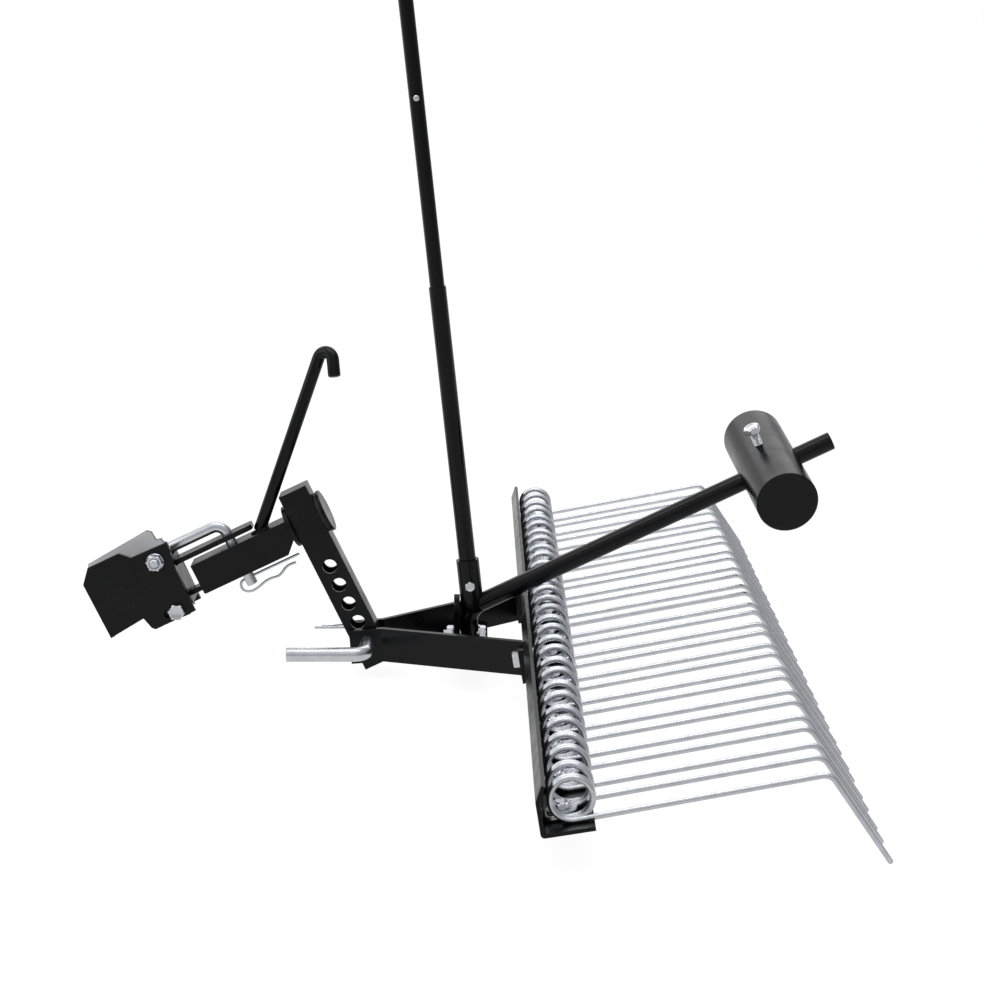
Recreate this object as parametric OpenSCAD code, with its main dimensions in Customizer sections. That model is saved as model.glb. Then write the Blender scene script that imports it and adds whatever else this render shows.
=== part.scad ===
// Tow-behind dethatcher for a garden tractor, with spring tines, height pin, lever and weight.
// Lengths are in millimetres. X points rearward, Y along the tine bar, Z up.
// The origin is the middle of the face that goes against the tractor.

/* [Layout] */
// Slope of the drawbar and everything bolted to it above level, in degrees
hitch_slope = 25.5; // [22:0.5:28]
// Distance of the tine coil axis behind the tractor face
coil_x = 396.1; // [392:0.5:402]
// Height of the tine coil axis against the tractor face
coil_z = -11.6; // [-15:0.2:-9]
// Slope of the two frame arms above level, in degrees
arm_slope = 4.2; // [2:0.2:6]
// Tilt of the tine bar with its rear edge up, in degrees
bar_tilt = 9; // [6:0.5:10]

/* [Tractor plate] */
// Thickness of the plate and bracket steel
plate_t = 4; // [3:0.5:4]
// Width of the tractor plate over its two ears
plate_w = 37; // [35:0.5:37.4]
// Height of the tractor face
face_h = 53; // [48:1:56]
// Spacing of the two holes for the tractor bolts
face_pitch = 30; // [26:1:32]
// Diameter of the holes for the tractor bolts
face_hole_d = 10.5; // [8.5:0.5:12.5]

/* [Hitch bracket] */
// Clear space between the two side plates
bracket_gap = 38; // [38:0.5:40]
// Distance of the upper bracket bolt behind the tractor face
tilt_p = 67.4; // [66:0.2:69]
// Height of the upper bracket bolt along the tractor face
tilt_q = 18.8; // [17:0.2:20]
// Distance between the upper and the lower bracket bolt
tilt_radius = 47.9; // [47:0.1:48.5]
// Angle the bracket can be set by, in degrees
tilt_travel = 9; // [6:1:9]
// Diameter of the bracket bolts
bolt_d = 8; // [6:1:8]
// Width over the flats of the bolt heads and nuts
bolt_af = 13; // [10:1:13]
// Height of a bolt head
head_h = 5.3; // [4:0.1:5.6]
// Height of a nut
nut_h = 6.5; // [5:0.1:6.8]
// Thickness of the clevis tongues
tongue_t = 4.5; // [4:0.5:4.5]
// Width of the upper clevis tongue
tongue_w = 20; // [18:1:22]
// Width of the lower clevis tongue inside the drawbar tube
low_tongue_w = 15; // [13:1:15]

/* [Drawbar] */
// Outside width and height of the square drawbar tube
tube_w = 28; // [27:0.5:28.5]
// Wall of the drawbar tube
tube_t = 2.5; // [2:0.1:2.7]
// Diameter of the hitch pin
hitch_pin_d = 10; // [9:0.5:11]
// Distance of the hitch pin behind the tractor face
hitch_pin_p = 130.5; // [128:0.5:133]
// Diameter of the round flange and of the wide bolt head
flange_d = 38; // [34:1:40]
// Diameter of the bolt the upright rolls on
roll_bolt_d = 12; // [10:1:14]
// Diameter of the hook rod that holds the raised lever
hook_d = 11; // [9:0.5:11.5]
// Length of the straight part of the hook rod
hook_len = 163; // [140:1:170]

/* [Upright] */
// Width of the upright seen from the side
upright_w = 26; // [25:0.5:27]
// Width of the upright seen from the front
upright_y = 25; // [22:0.5:25.5]
// Wall of the upright
upright_t = 3; // [2.5:0.5:4]
// Number of height holes
hole_count = 5; // [3:1:5]
// Distance between height holes
hole_pitch = 18.6; // [17:0.2:19]
// Diameter of the height pin
height_pin_d = 12.5; // [11:0.5:13]

/* [Frame arms] */
// Height of the flat bar of the arms
arm_h = 30; // [28:1:32]
// Thickness of the flat bar of the arms
arm_t = 5; // [4:0.5:5]
// Length of the tab each arm is bolted on with
tab_len = 18; // [17:0.5:19]
// Diameter of the stop bar behind the upright
stop_d = 10; // [8:1:12]

/* [Tine bar] */
// Thickness of the tine bar sheet
bar_t = 3; // [2.5:0.5:3]
// Depth of the lower leg of the tine bar
bar_leg = 38.3; // [36:0.1:42]
// Height of the front leg of the tine bar up to the lip
bar_front = 26.5; // [25:0.1:29]
// Length of the lip
bar_lip = 12.8; // [10:0.1:14]
// Backward lean of the lip, in degrees
lip_lean = 27; // [20:1:35]

/* [Spring tines] */
// Distance from one spring tine to the next
tine_pitch = 66; // [64:0.5:66.5]
// Diameter of the spring wire
wire_d = 4; // [3.6:0.1:4]
// Radius of the coils at the middle of the wire
coil_r = 15; // [14.6:0.1:15]
// Distance between the two prongs of one tine
prong_gap = 39; // [37:0.5:40]
// Distance from curl to curl in a coil
coil_step = 4.6; // [4.5:0.05:4.7]
// Rise of the prongs towards the rear, in degrees
prong_rise = 9.9; // [9:0.1:11]
// Distance from the coil axis back to the bend of a prong
prong_len = 178.5; // [160:0.5:190]
// Length of the prong tip below the bend
tip_len = 76.6; // [60:0.5:80]
// Slope of the prong tip below level, in degrees
tip_slope = 55.1; // [45:0.5:60]

/* [Lever and weight] */
// Diameter of the weight rod
rod_d = 16; // [14:0.5:16]
// Slope of the weight rod above level, in degrees
rod_slope = 25.4; // [22:0.2:28]
// Length of the sloping part of the weight rod
rod_len = 350; // [340:1:360]
// Diameter of the counterweight
weight_d = 53; // [50:1:56]
// Length of the counterweight
weight_len = 150; // [130:1:160]
// Distance of the counterweight up the weight rod
weight_at = 291; // [260:1:294]
// Turn of the counterweight on the rod, in degrees
weight_turn = 12; // [0:1:15]
// Forward lean of the lever, in degrees
lever_lean = 6; // [5:0.5:7]
// Outside diameter of the lever socket
socket_d = 20; // [19:0.5:21]
// Outside diameter of the lower lever tube
lever_d = 15; // [14.5:0.1:15.4]
// Wall of the lever tubes
lever_t = 1; // [0.8:0.1:1.2]
// Length of the lever above its socket foot
lever_len = 690; // [600:10:720]

/* [Hidden] */
$fn = 48;
// Air between two pieces that move past each other
slip = 0.4;
// Radial clearance of a pin or bolt that turns in its hole
fit = 0.08;
// Radial clearance of the two lever tubes
slide_fit = 0.09;
// Radial clearance of a bolt clamped in its own body
snug = 0.05;
// Height of the tine bolts and nuts above the wire they clamp
seat = 0.05;
// How much thinner a bend is than its straight ends, and the angle it runs into them by
bend_skin = 0.03;
bend_over = 2;
// Clearance of a bolt in a plain hole of its own assembly
loose = 0.3;
// Depth by which welded pieces run into each other
weld = 1;

black = [0.06, 0.06, 0.07];
zinc = [0.74, 0.75, 0.78];
rubber = [0.12, 0.12, 0.12];

// Heights along the tractor face, measured from its middle
face_low = -face_h / 2;
roll_q = -8;
tube_top = 0.5;
tube_low = tube_top - tube_w;
tongue_top_q = 6;
tongue_low_q = tube_low + tube_t + slip;
// Distances behind the tractor face
web_p = 78;
tube_front = 91;
tube_back = 183;
flange_t = 4;
upright_p = tube_back + flange_t + slip;
upright_mid = upright_p + upright_w / 2;
upright_top = 21.5;
hole_q = -127;
upright_low = hole_q - 23.3;
// Foot, curl and sideways turn of the lock hook
hook_p = 156.5;
hook_bend_r = 8;
hook_curl = 150;
hook_aside = 35;
hook_tail = 15;
washer_t = 2.2;
wide_head_t = 3;
hitch_pin_low = -40;
hitch_clip_q = -33;
handle_q = 21;
height_clip_y = 32;

// The height pin hole seen from the origin and from the coil axis
pivot_x = upright_mid * cos(hitch_slope) - hole_q * sin(hitch_slope);
pivot_z = upright_mid * sin(hitch_slope) + hole_q * cos(hitch_slope);
pivot_a = (pivot_x - coil_x) * cos(arm_slope) + (pivot_z - coil_z) * sin(arm_slope);
pivot_b = -(pivot_x - coil_x) * sin(arm_slope) + (pivot_z - coil_z) * cos(arm_slope);

// Arm bolts, half way between two spring tines; the arms land just inside them
arm_bolt_y = 1.5 * tine_pitch;
arm_bolt_b = -4;
arm_spread = arm_bolt_y - 9;
// Frame arms, measured in the frame of the arms
arm_in = upright_y / 2 + 0.8;
arm_top = pivot_b + 11.4;
arm_nose = pivot_a - 15;
arm_bend = pivot_a + 15;
bar_face = -24.7;

// Tine bar section, measured in the tilted frame of the bar
leg_top = -coil_r - wire_d / 2 - seat;
leg_low = leg_top - bar_t;
bridge_a = bar_face + bar_t + wire_d / 2 + 0.5;
tine_bolt_a = -8;
tine_count = 15;
bar_len = tine_count * tine_pitch;

// Length of the weight bolt that shows under its head
weight_bolt_out = 12.5;

// Lever parts, measured from the coil axis
rod_x = -71;
rod_z = 9.5;
rod_bend_r = 18;
lever_x = -67.7;
lever_z = 10;
lug_t = 5;
cross_t = 5;
clamp_z = -14;
upper_d = lever_d - 2 * lever_t - 2 * slide_fit;
// Floor of the socket, above the weight rod that runs through its foot, and its cross bolt
socket_floor = 12.5;
socket_top = 44;
socket_bolt_at = 22;
socket_bolt_d = 5;
lower_end = 286;
rivet_at = 447;
rivet_r = 1.5;
rivet_head = 1.3;
upper_start = 226;

// Frame of the hitch: first axis up the drawbar, third axis up the tractor face
module in_hitch() {
    rotate([0, -hitch_slope, 0]) children();
}

// Frame of the arms, with its origin on the coil axis
module in_arms() {
    translate([coil_x, 0, coil_z]) rotate([0, -arm_slope, 0]) children();
}

// Frame of the tine bar, with its origin on the coil axis
module in_bar() {
    translate([coil_x, 0, coil_z]) rotate([0, -bar_tilt, 0]) children();
}

// Level frame with its origin on the coil axis
module at_coils() {
    translate([coil_x, 0, coil_z]) children();
}

// Frame of the lever: third axis up the lever
module in_lever() {
    at_coils() translate([lever_x, 0, lever_z]) rotate([0, -lever_lean, 0]) children();
}

// Frame of the weight rod: first axis up the rod, from the corner of its bend
module in_rod() {
    at_coils() translate([rod_x, 0, rod_z]) rotate([0, -rod_slope, 0]) children();
}

// Frame of the counterweight, turned on the rod
module in_weight() {
    in_rod() translate([weight_at, 0, 0]) rotate([weight_turn, 0, 0]) children();
}

// Round bar along Y
module bar_y(x, z, y0, y1, r) {
    translate([x, y1, z]) rotate([90, 0, 0]) cylinder(r = r, h = y1 - y0);
}

// Hexagon along Y
module hex_y(x, z, y0, y1, af) {
    translate([x, y1, z]) rotate([90, 0, 0])
        linear_extrude(y1 - y0) circle(d = af / cos(30), $fn = 6);
}

// Round bar along X
module bar_x(y, z, x0, x1, r) {
    translate([x0, y, z]) rotate([0, 90, 0]) cylinder(r = r, h = x1 - x0);
}

// Hexagon along X
module hex_x(y, z, x0, x1, af) {
    translate([x0, y, z]) rotate([0, 90, 0])
        linear_extrude(x1 - x0) circle(d = af / cos(30), $fn = 6);
}

// Plate of a side outline between two distances along Y
module side_plate(points, y0, y1) {
    translate([0, y1, 0]) rotate([90, 0, 0]) linear_extrude(y1 - y0) polygon(points);
}

// Part turn of round bar: starts at the origin along +X, bends towards +Z. It is a hair thinner
// than its straight ends and runs a little into them.
module bend_up(bend_r, r, turn) {
    translate([0, 0, bend_r]) rotate([90, 0, 0]) rotate([0, 0, -90 - bend_over])
        rotate_extrude(angle = turn + 2 * bend_over) translate([bend_r, 0, 0]) circle(r = r - bend_skin);
}

function slot_at(turn) = [tilt_p + tilt_radius * cos(turn), tilt_q + tilt_radius * sin(turn)];
low_turn = -94;
low_bolt = slot_at(low_turn);

module tractor_plate() {
    ear_y = plate_w / 2;
    near_ear = [[0, face_low], [0, face_low + face_h], [10.5, 38.4], [40.7, 38.4], [49, 30], [73, 29],
        [75, 10], [73, -37], [50, -36], [44, face_low + 4.5]];
    far_ear = [[0, face_low], [0, face_low + face_h], [4, 36], [64.5, 41], [68, 38], [68.5, 30],
        [73, 29], [75, 10], [73, -37], [50, -36], [44, face_low + 4.5]];
    color(black) in_hitch() difference() {
        union() {
            translate([0, -ear_y, face_low]) cube([plate_t, plate_w, face_h]);
            side_plate(near_ear, -ear_y, -ear_y + plate_t);
            side_plate(far_ear, ear_y - plate_t, ear_y);
        }
        for (k = [-1, 1]) bar_x(0, k * face_pitch / 2, -1, plate_t + 1, face_hole_d / 2);
        bar_y(tilt_p, tilt_q, -ear_y - 1, ear_y + 1, bolt_d / 2 + snug);
        bar_y(low_bolt[0], low_bolt[1], -ear_y - 1, ear_y + 1, bolt_d / 2 + snug);
    }
}

module hitch_bracket() {
    y_in = bracket_gap / 2;
    y_out = y_in + plate_t;
    slot_r = bolt_d / 2 + loose;
    side = [[49.4, 31], [84.6, 31], [85, 9.4], [80, -35.5], [40, -35.5], [37.5, -33], [34.7, -22],
        [44, -12]];
    color(black) in_hitch() difference() {
        union() {
            side_plate(side, -y_out, -y_in);
            side_plate(side, y_in, y_out);
            translate([web_p, -y_in - weld, -29]) cube([plate_t, 2 * y_in + 2 * weld, 43]);
        }
        bar_y(tilt_p, tilt_q, -y_out - 1, y_out + 1, bolt_d / 2 + fit);
        translate([tilt_p, y_out + 1, tilt_q]) rotate([90, 0, 0]) rotate([0, 0, low_turn - tilt_travel])
            rotate_extrude(angle = tilt_travel)
                translate([tilt_radius - slot_r, 0]) square([2 * slot_r, 2 * y_out + 2]);
        for (turn = [low_turn, low_turn - tilt_travel]) {
            end = slot_at(turn);
            bar_y(end[0], end[1], -y_out - 1, y_out + 1, slot_r - bend_skin);
        }
        translate([web_p - 1, -tongue_w / 2, tongue_top_q]) cube([plate_t + 2, tongue_w, tongue_t]);
        translate([web_p - 1, -low_tongue_w / 2, tongue_low_q])
            cube([plate_t + 2, low_tongue_w, tongue_t]);
    }
}

module bracket_bolts() {
    y_out = bracket_gap / 2 + plate_t;
    wash = 1.6;
    color(zinc) in_hitch() {
        bar_y(tilt_p, tilt_q, -y_out - wash - nut_h - 2, y_out + slip + 0.1, bolt_d / 2);
        hex_y(tilt_p, tilt_q, y_out + slip, y_out + slip + head_h, bolt_af);
        bar_y(low_bolt[0], low_bolt[1], -y_out - slip - 0.1, y_out + wash + nut_h + 2, bolt_d / 2);
        hex_y(low_bolt[0], low_bolt[1], -y_out - slip - head_h, -y_out - slip, bolt_af);
    }
}

module bracket_washers() {
    y_out = bracket_gap / 2 + plate_t;
    color(zinc) in_hitch() {
        difference() {
            bar_y(tilt_p, tilt_q, -y_out - 1.5, -y_out - slip, bolt_d);
            bar_y(tilt_p, tilt_q, -y_out - 2, -y_out, bolt_d / 2 + snug);
        }
        difference() {
            bar_y(low_bolt[0], low_bolt[1], y_out + slip, y_out + 1.5, bolt_d);
            bar_y(low_bolt[0], low_bolt[1], y_out, y_out + 2, bolt_d / 2 + snug);
        }
    }
}

module bracket_nuts() {
    y_out = bracket_gap / 2 + plate_t + 1.6;
    color(zinc) in_hitch() {
        difference() {
            hex_y(tilt_p, tilt_q, -y_out - nut_h, -y_out, bolt_af);
            bar_y(tilt_p, tilt_q, -y_out - nut_h - 1, -y_out + 1, bolt_d / 2 + snug);
        }
        difference() {
            hex_y(low_bolt[0], low_bolt[1], y_out, y_out + nut_h, bolt_af);
            bar_y(low_bolt[0], low_bolt[1], y_out - 1, y_out + nut_h + 1, bolt_d / 2 + snug);
        }
    }
}

// Clevis tongue with a rounded end and the hole for the hitch pin
module tongue(q, reach, w) {
    corner = 4;
    in_hitch() difference() {
        union() {
            translate([web_p, -w / 2, q]) cube([reach - web_p - corner, w, tongue_t]);
            translate([reach - corner - 1, -w / 2 + corner, q]) cube([corner + 1, w - 2 * corner, tongue_t]);
            for (k = [-1, 1]) translate([reach - corner, k * (w / 2 - corner), q])
                cylinder(r = corner, h = tongue_t);
        }
        translate([hitch_pin_p, 0, q - 1]) cylinder(r = hitch_pin_d / 2 + fit, h = tongue_t + 2);
    }
}

module top_tongue() {
    color(black) tongue(tongue_top_q, hitch_pin_p + 23.5, tongue_w);
}

module bottom_tongue() {
    color(black) tongue(tongue_low_q, hitch_pin_p + 19.5, low_tongue_w);
}

module hitch_pin() {
    r = hitch_pin_d / 2;
    turn_r = handle_q - tongue_top_q - tongue_t - 0.5;
    color(zinc) in_hitch() difference() {
        union() {
            translate([hitch_pin_p, 0, hitch_pin_low + 1.5])
                cylinder(r = r, h = handle_q - turn_r - hitch_pin_low - 1.5);
            translate([hitch_pin_p, 0, hitch_pin_low]) cylinder(r1 = r - 1.5, r2 = r, h = 1.5);
            translate([hitch_pin_p - turn_r, 0, handle_q]) mirror([0, 0, 1]) bend_up(turn_r, r, 90);
            bar_x(0, handle_q, 80, hitch_pin_p - turn_r, r);
        }
        bar_x(0, hitch_clip_q, hitch_pin_p - r - 1, hitch_pin_p + r + 1, clip_r + fit);
    }
}

// Triangles of a six-sided tube with closed ends through a number of rings
sides = 6;
function tube_faces(n) = concat(
    [for (i = [0 : n - 2]) for (j = [0 : sides - 1])
        [i * sides + j, i * sides + (j + 1) % sides, (i + 1) * sides + j]],
    [for (i = [0 : n - 2]) for (j = [0 : sides - 1])
        [i * sides + (j + 1) % sides, (i + 1) * sides + (j + 1) % sides, (i + 1) * sides + j]],
    [for (j = [1 : sides - 2]) [0, j + 1, j]],
    [for (j = [1 : sides - 2]) [(n - 1) * sides, (n - 1) * sides + j, (n - 1) * sides + j + 1]]);

// Spring clip of a pin: one leg through the cross hole, one wavy leg past the pin end
clip_r = 1.25;
clip_line = [[49, 0], [-6, 0], [-9.4, -1.8], [-10.8, -6], [-9, -10], [-4, -12.4], [2.5, -12],
    [12, -9.2], [18, -9.2], [25, -10.6], [34, -5], [43, -5.6]];
function turn_of(d) = atan2(d[1], d[0]);
function mean_turn(a, b) = abs(a - b) > 180 ? (a + b) / 2 + 180 : (a + b) / 2;
clip_turns = [for (i = [0 : len(clip_line) - 2]) turn_of(clip_line[i + 1] - clip_line[i])];
clip_ends = len(clip_turns) - 1;
clip_mean = [for (i = [0 : len(clip_line) - 1])
    i == 0 ? clip_turns[0] : i > clip_ends ? clip_turns[clip_ends]
    : mean_turn(clip_turns[i - 1], clip_turns[i])];
clip_points = [for (i = [0 : len(clip_line) - 1]) for (j = [0 : 5])
    let (c = clip_r * cos(j * 60), t = clip_mean[i])
        [clip_line[i][0] - c * sin(t), clip_r * sin(j * 60), clip_line[i][1] + c * cos(t)]];

module clip_wire() {
    polyhedron(clip_points, tube_faces(len(clip_line)));
}

module hitch_pin_clip() {
    color(zinc) in_hitch() translate([hitch_pin_p, 0, hitch_clip_q]) clip_wire();
}

module drawbar_tube() {
    inner = tube_w - 2 * tube_t;
    color(black) in_hitch() difference() {
        side_plate([[tube_front + 1, tube_low], [tube_front, tube_low + 1], [tube_front, tube_top],
            [tube_back, tube_top], [tube_back, -17.5], [tube_back - 10, tube_low]], -tube_w / 2, tube_w / 2);
        translate([tube_front - 1, -inner / 2, tube_low + tube_t]) cube([tube_back - tube_front - 1, inner, inner]);
        translate([hitch_pin_p, 0, tube_low - 1]) cylinder(r = hitch_pin_d / 2 + 0.6, h = tube_w + 2);
        bar_x(0, roll_q, tube_back - 5, tube_back + 1, roll_bolt_d / 2 + snug);
    }
}

module pivot_flange() {
    color(black) in_hitch() difference() {
        bar_x(0, roll_q, tube_back, tube_back + flange_t, flange_d / 2);
        bar_x(0, roll_q, tube_back - 1, tube_back + flange_t + 1, roll_bolt_d / 2 + snug);
    }
}

module roll_bolt() {
    back = upright_p + upright_w + slip + washer_t;
    color(zinc) in_hitch() {
        bar_x(0, roll_q, tube_back - 9, back + 0.1, roll_bolt_d / 2);
        bar_x(0, roll_q, back, back + wide_head_t, flange_d / 2);
    }
}

module thrust_washer() {
    front = upright_p + upright_w + slip;
    color(rubber) in_hitch() difference() {
        bar_x(0, roll_q, front, front + washer_t, flange_d / 2 - 1);
        bar_x(0, roll_q, front - 1, front + washer_t + 1, roll_bolt_d / 2 + 0.1);
    }
}

module lock_hook() {
    r = hook_d / 2;
    color(black) in_hitch() difference() {
        translate([hook_p, 0, 0]) rotate([0, -45, 0]) {
            bar_x(0, 0, -r - 2, hook_len, r);
            translate([hook_len, 0, 0]) rotate([180 - hook_aside, 0, 0]) {
                bend_up(hook_bend_r, r, hook_curl);
                translate([hook_bend_r * sin(hook_curl), 0, hook_bend_r * (1 - cos(hook_curl))])
                    rotate([0, 90 - hook_curl, 0]) {
                        cylinder(r = r, h = hook_tail - 2);
                        translate([0, 0, hook_tail - 2]) cylinder(r1 = r, r2 = r - 2, h = 2);
                    }
            }
        }
        translate([hook_p - 2 * hook_d, -hook_d, tube_top - hook_d - 4]) cube([4 * hook_d, 2 * hook_d, hook_d + 4]);
    }
}

module upright() {
    core_w = upright_w - 2 * upright_t;
    core_y = upright_y - 2 * upright_t;
    high = upright_top - upright_low;
    color(black) in_hitch() difference() {
        translate([upright_p, -upright_y / 2, upright_low]) cube([upright_w, upright_y, high]);
        translate([upright_p + upright_t, -core_y / 2, upright_low + 3]) cube([core_w, core_y, high - 6]);
        for (k = [0 : hole_count - 1])
            bar_y(upright_mid, hole_q + k * hole_pitch, -upright_y, upright_y, height_pin_d / 2 + fit);
        bar_x(0, roll_q, upright_p - 1, upright_p + upright_w + 1, roll_bolt_d / 2 + fit);
    }
}

module height_pin() {
    r = height_pin_d / 2;
    grip_y = -57;
    turn_r = 11;
    color(zinc) translate([pivot_x, 0, pivot_z]) difference() {
        union() {
            bar_y(0, 0, grip_y + turn_r, height_clip_y + 6, r);
            translate([-turn_r, grip_y, 0]) rotate([-90, 0, 0]) bend_up(turn_r, r, 90);
            bar_x(grip_y, 0, -68, -turn_r, r);
        }
        bar_x(height_clip_y, 0, -r - 1, r + 1, clip_r + fit);
    }
}

module height_pin_clip() {
    color(zinc) translate([pivot_x, height_clip_y, pivot_z]) rotate([-90, 0, 180]) clip_wire();
}

// Frame arm on one side: flat part along the upright, sloping part, tab on the tine bar
module arm(side) {
    run = -22 - arm_bend;
    rise = arm_spread - arm_in;
    outer = [[arm_nose, arm_in], [arm_bend, arm_in], [arm_bend + run, arm_in + rise],
        [arm_bend + run, arm_in + rise + arm_t * 1.22], [arm_bend - arm_t * 0.33, arm_in + arm_t],
        [arm_nose, arm_in + arm_t]];
    difference() {
        union() {
            difference() {
                in_arms() translate([0, 0, arm_top - arm_h]) linear_extrude(arm_h)
                    polygon([for (p = outer) [p[0], side * p[1]]]);
                in_bar() translate([bar_face - 0.001, -200, -60]) cube([60, 400, 120]);
            }
            in_bar() translate([bar_face - arm_t, side > 0 ? arm_spread - 4 : -arm_spread - tab_len, -24])
                cube([arm_t, tab_len + 4, arm_h - 1]);
        }
        bar_y(pivot_x, pivot_z, -40, 40, height_pin_d / 2 + fit);
        in_bar() bar_x(side * arm_bolt_y, arm_bolt_b, bar_face - arm_t - 1, bar_face + 1,
            bolt_d / 2 + snug);
    }
}

module near_arm() {
    color(black) arm(-1);
}

module far_arm() {
    color(black) arm(1);
}

// Middle of the stop bar, just behind the lower end of the upright
stop_p = upright_p + upright_w + slip + stop_d / 2;
stop_q = hole_q - 14;
stop_x = stop_p * cos(hitch_slope) - stop_q * sin(hitch_slope);
stop_z = stop_p * sin(hitch_slope) + stop_q * cos(hitch_slope);

module stop_bar() {
    half = arm_in + 4.4;
    color(black) bar_y(stop_x, stop_z, -half, half, stop_d / 2);
}

// Half of the clear width between the arms at a distance in the frame of the arms
function arm_inner(a) = arm_in + (a - arm_bend) * (arm_spread - arm_in) / (-22 - arm_bend);

module cross_member() {
    a0 = -88;
    a1 = -56;
    color(black) in_arms() translate([0, 0, arm_top - arm_h + 1]) linear_extrude(cross_t)
        polygon([[a0, -arm_inner(a0)], [a1, -arm_inner(a1)], [a1, arm_inner(a1)], [a0, arm_inner(a0)]]);
}

cross_top = coil_z + (arm_top - arm_h + 1 + cross_t) * cos(arm_slope) + (rod_x) * sin(arm_slope);

module lever_lug() {
    left = rod_x - rod_d / 2 - 0.1 - lug_t;
    low = cross_top - coil_z;
    color(black) at_coils() difference() {
        union() {
            translate([left, -11, low - 1.2]) cube([lug_t, 22, 17.2 - low]);
            bar_x(0, 16, left, left + lug_t, 6);
        }
        bar_x(0, clamp_z, left - 1, left + lug_t + 1, bolt_d / 2 + snug);
        in_lug_foot();
    }
}

// Room of the cross member, taken from the foot of the lug
module in_lug_foot() {
    translate([-coil_x, 0, -coil_z]) in_arms() translate([-120, -30, arm_top - arm_h - 20])
        cube([100, 60, 21 + cross_t]);
}

module rod_clamp_bolt() {
    head_x = rod_x + rod_d / 2 + 1.7;
    color(zinc) at_coils() {
        bar_x(0, clamp_z, rod_x - rod_d / 2 - lug_t - nut_h - 2, head_x + 0.1, bolt_d / 2);
        hex_x(0, clamp_z, head_x, head_x + head_h, bolt_af);
        bar_x(0, clamp_z, head_x - 1.6, head_x + 0.1, bolt_d);
    }
}

module rod_clamp_nut() {
    back = rod_x - rod_d / 2 - lug_t - 0.15;
    color(zinc) at_coils() difference() {
        hex_x(0, clamp_z, back - nut_h, back, bolt_af);
        bar_x(0, clamp_z, back - nut_h - 1, back + 1, bolt_d / 2 + snug);
    }
}

module weight_rod() {
    r = rod_d / 2;
    turn = 90 - rod_slope;
    cut = rod_bend_r * tan(turn / 2);
    color(black) difference() {
        union() {
            in_rod() bar_x(0, 0, cut, rod_len - 1, r);
            in_rod() translate([rod_len - 1, 0, 0]) rotate([0, 90, 0]) cylinder(r1 = r, r2 = r - 1, h = 1);
            at_coils() translate([rod_x, 0, rod_z - cut]) mirror([1, 0, -1]) bend_up(rod_bend_r, r, turn);
            at_coils() translate([rod_x, 0, cross_top - coil_z + 0.6])
                cylinder(r = r, h = rod_z - cut - cross_top + coil_z - 0.6);
        }
        at_coils() bar_x(0, clamp_z, rod_x - r - 1, rod_x + r + 1, bolt_d / 2 + snug);
    }
}

module lever_socket() {
    color(black) in_lever() difference() {
        translate([0, 0, -3]) cylinder(r = socket_d / 2, h = socket_top + 3);
        translate([0, 0, socket_floor]) cylinder(r = lever_d / 2 + 0.1, h = socket_top);
        bar_y(0, socket_bolt_at, -socket_d, socket_d, socket_bolt_d / 2 + snug);
    }
}

module socket_bolt() {
    out = socket_d / 2;
    color(zinc) in_lever() {
        bar_y(0, socket_bolt_at, -out - 0.6, out + 6, socket_bolt_d / 2);
        hex_y(0, socket_bolt_at, -out - 4.1, -out - 0.1, 8);
        hex_y(0, socket_bolt_at, out + 0.1, out + 4.1, 8);
    }
}

module lever_lower() {
    color(black) in_lever() difference() {
        translate([0, 0, socket_floor + 0.1]) cylinder(r = lever_d / 2, h = lower_end - socket_floor - 0.1);
        translate([0, 0, socket_floor - 1]) cylinder(r = lever_d / 2 - lever_t, h = lower_end);
        bar_y(0, socket_bolt_at, -lever_d, lever_d, socket_bolt_d / 2 + snug);
    }
}

module lever_upper() {
    r = upper_d / 2;
    color(black) in_lever() difference() {
        translate([0, 0, upper_start]) cylinder(r = r, h = lever_len - 4 - upper_start);
        translate([0, 0, upper_start - 1]) cylinder(r = r - lever_t, h = lever_len - upper_start);
        bar_y(0, rivet_at, -lever_d, lever_d, rivet_r + snug);
    }
}

module stop_rivet() {
    r = upper_d / 2;
    color(zinc) in_lever() {
        bar_y(0, rivet_at, -r - seat - 0.1, r + seat + 0.1, rivet_r);
        for (k = [-1, 1]) bar_y(0, rivet_at, k * (r + seat + rivet_head / 2) - rivet_head / 2,
            k * (r + seat + rivet_head / 2) + rivet_head / 2, rivet_r + 1);
    }
}

module lever_grip() {
    r = upper_d / 2;
    color(rubber) in_lever() difference() {
        union() {
            translate([0, 0, lever_len - 115]) cylinder(r = r + 3, h = 115);
            translate([0, 0, lever_len]) cylinder(r1 = r + 3, r2 = r + 1, h = 3);
            translate([0, 0, lever_len - 115]) cylinder(r = r + 5, h = 4);
        }
        for (k = [0 : 7]) translate([0, 0, lever_len - 100 + k * 11]) rotate_extrude()
            translate([r + 3.8, 0, 0]) circle(r = 1.6, $fn = 24);
        translate([0, 0, lever_len - 116]) cylinder(r = r + 0.02, h = 112.1);
    }
}

module counterweight() {
    half = weight_len / 2;
    r = weight_d / 2;
    color(black) in_weight() difference() {
        union() {
            bar_y(0, 0, -half + 1, half - 1, r);
            translate([0, -half + 1, 0]) rotate([90, 0, 0]) cylinder(r1 = r, r2 = r - 1, h = 1);
            translate([0, half - 1, 0]) rotate([-90, 0, 0]) cylinder(r1 = r, r2 = r - 1, h = 1);
        }
        bar_x(0, 0, -r - 1, r + 1, rod_d / 2 + fit);
        cylinder(r = bolt_d / 2 + fit, h = r + 1);
    }
}

module weight_bolt() {
    low = rod_d / 2 + slip;
    high = weight_d / 2 + weight_bolt_out;
    color(zinc) in_weight() {
        translate([0, 0, low]) cylinder(r = bolt_d / 2, h = high - low + 0.1);
        translate([0, 0, high]) linear_extrude(head_h) circle(d = bolt_af / cos(30), $fn = 6);
    }
}

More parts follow.
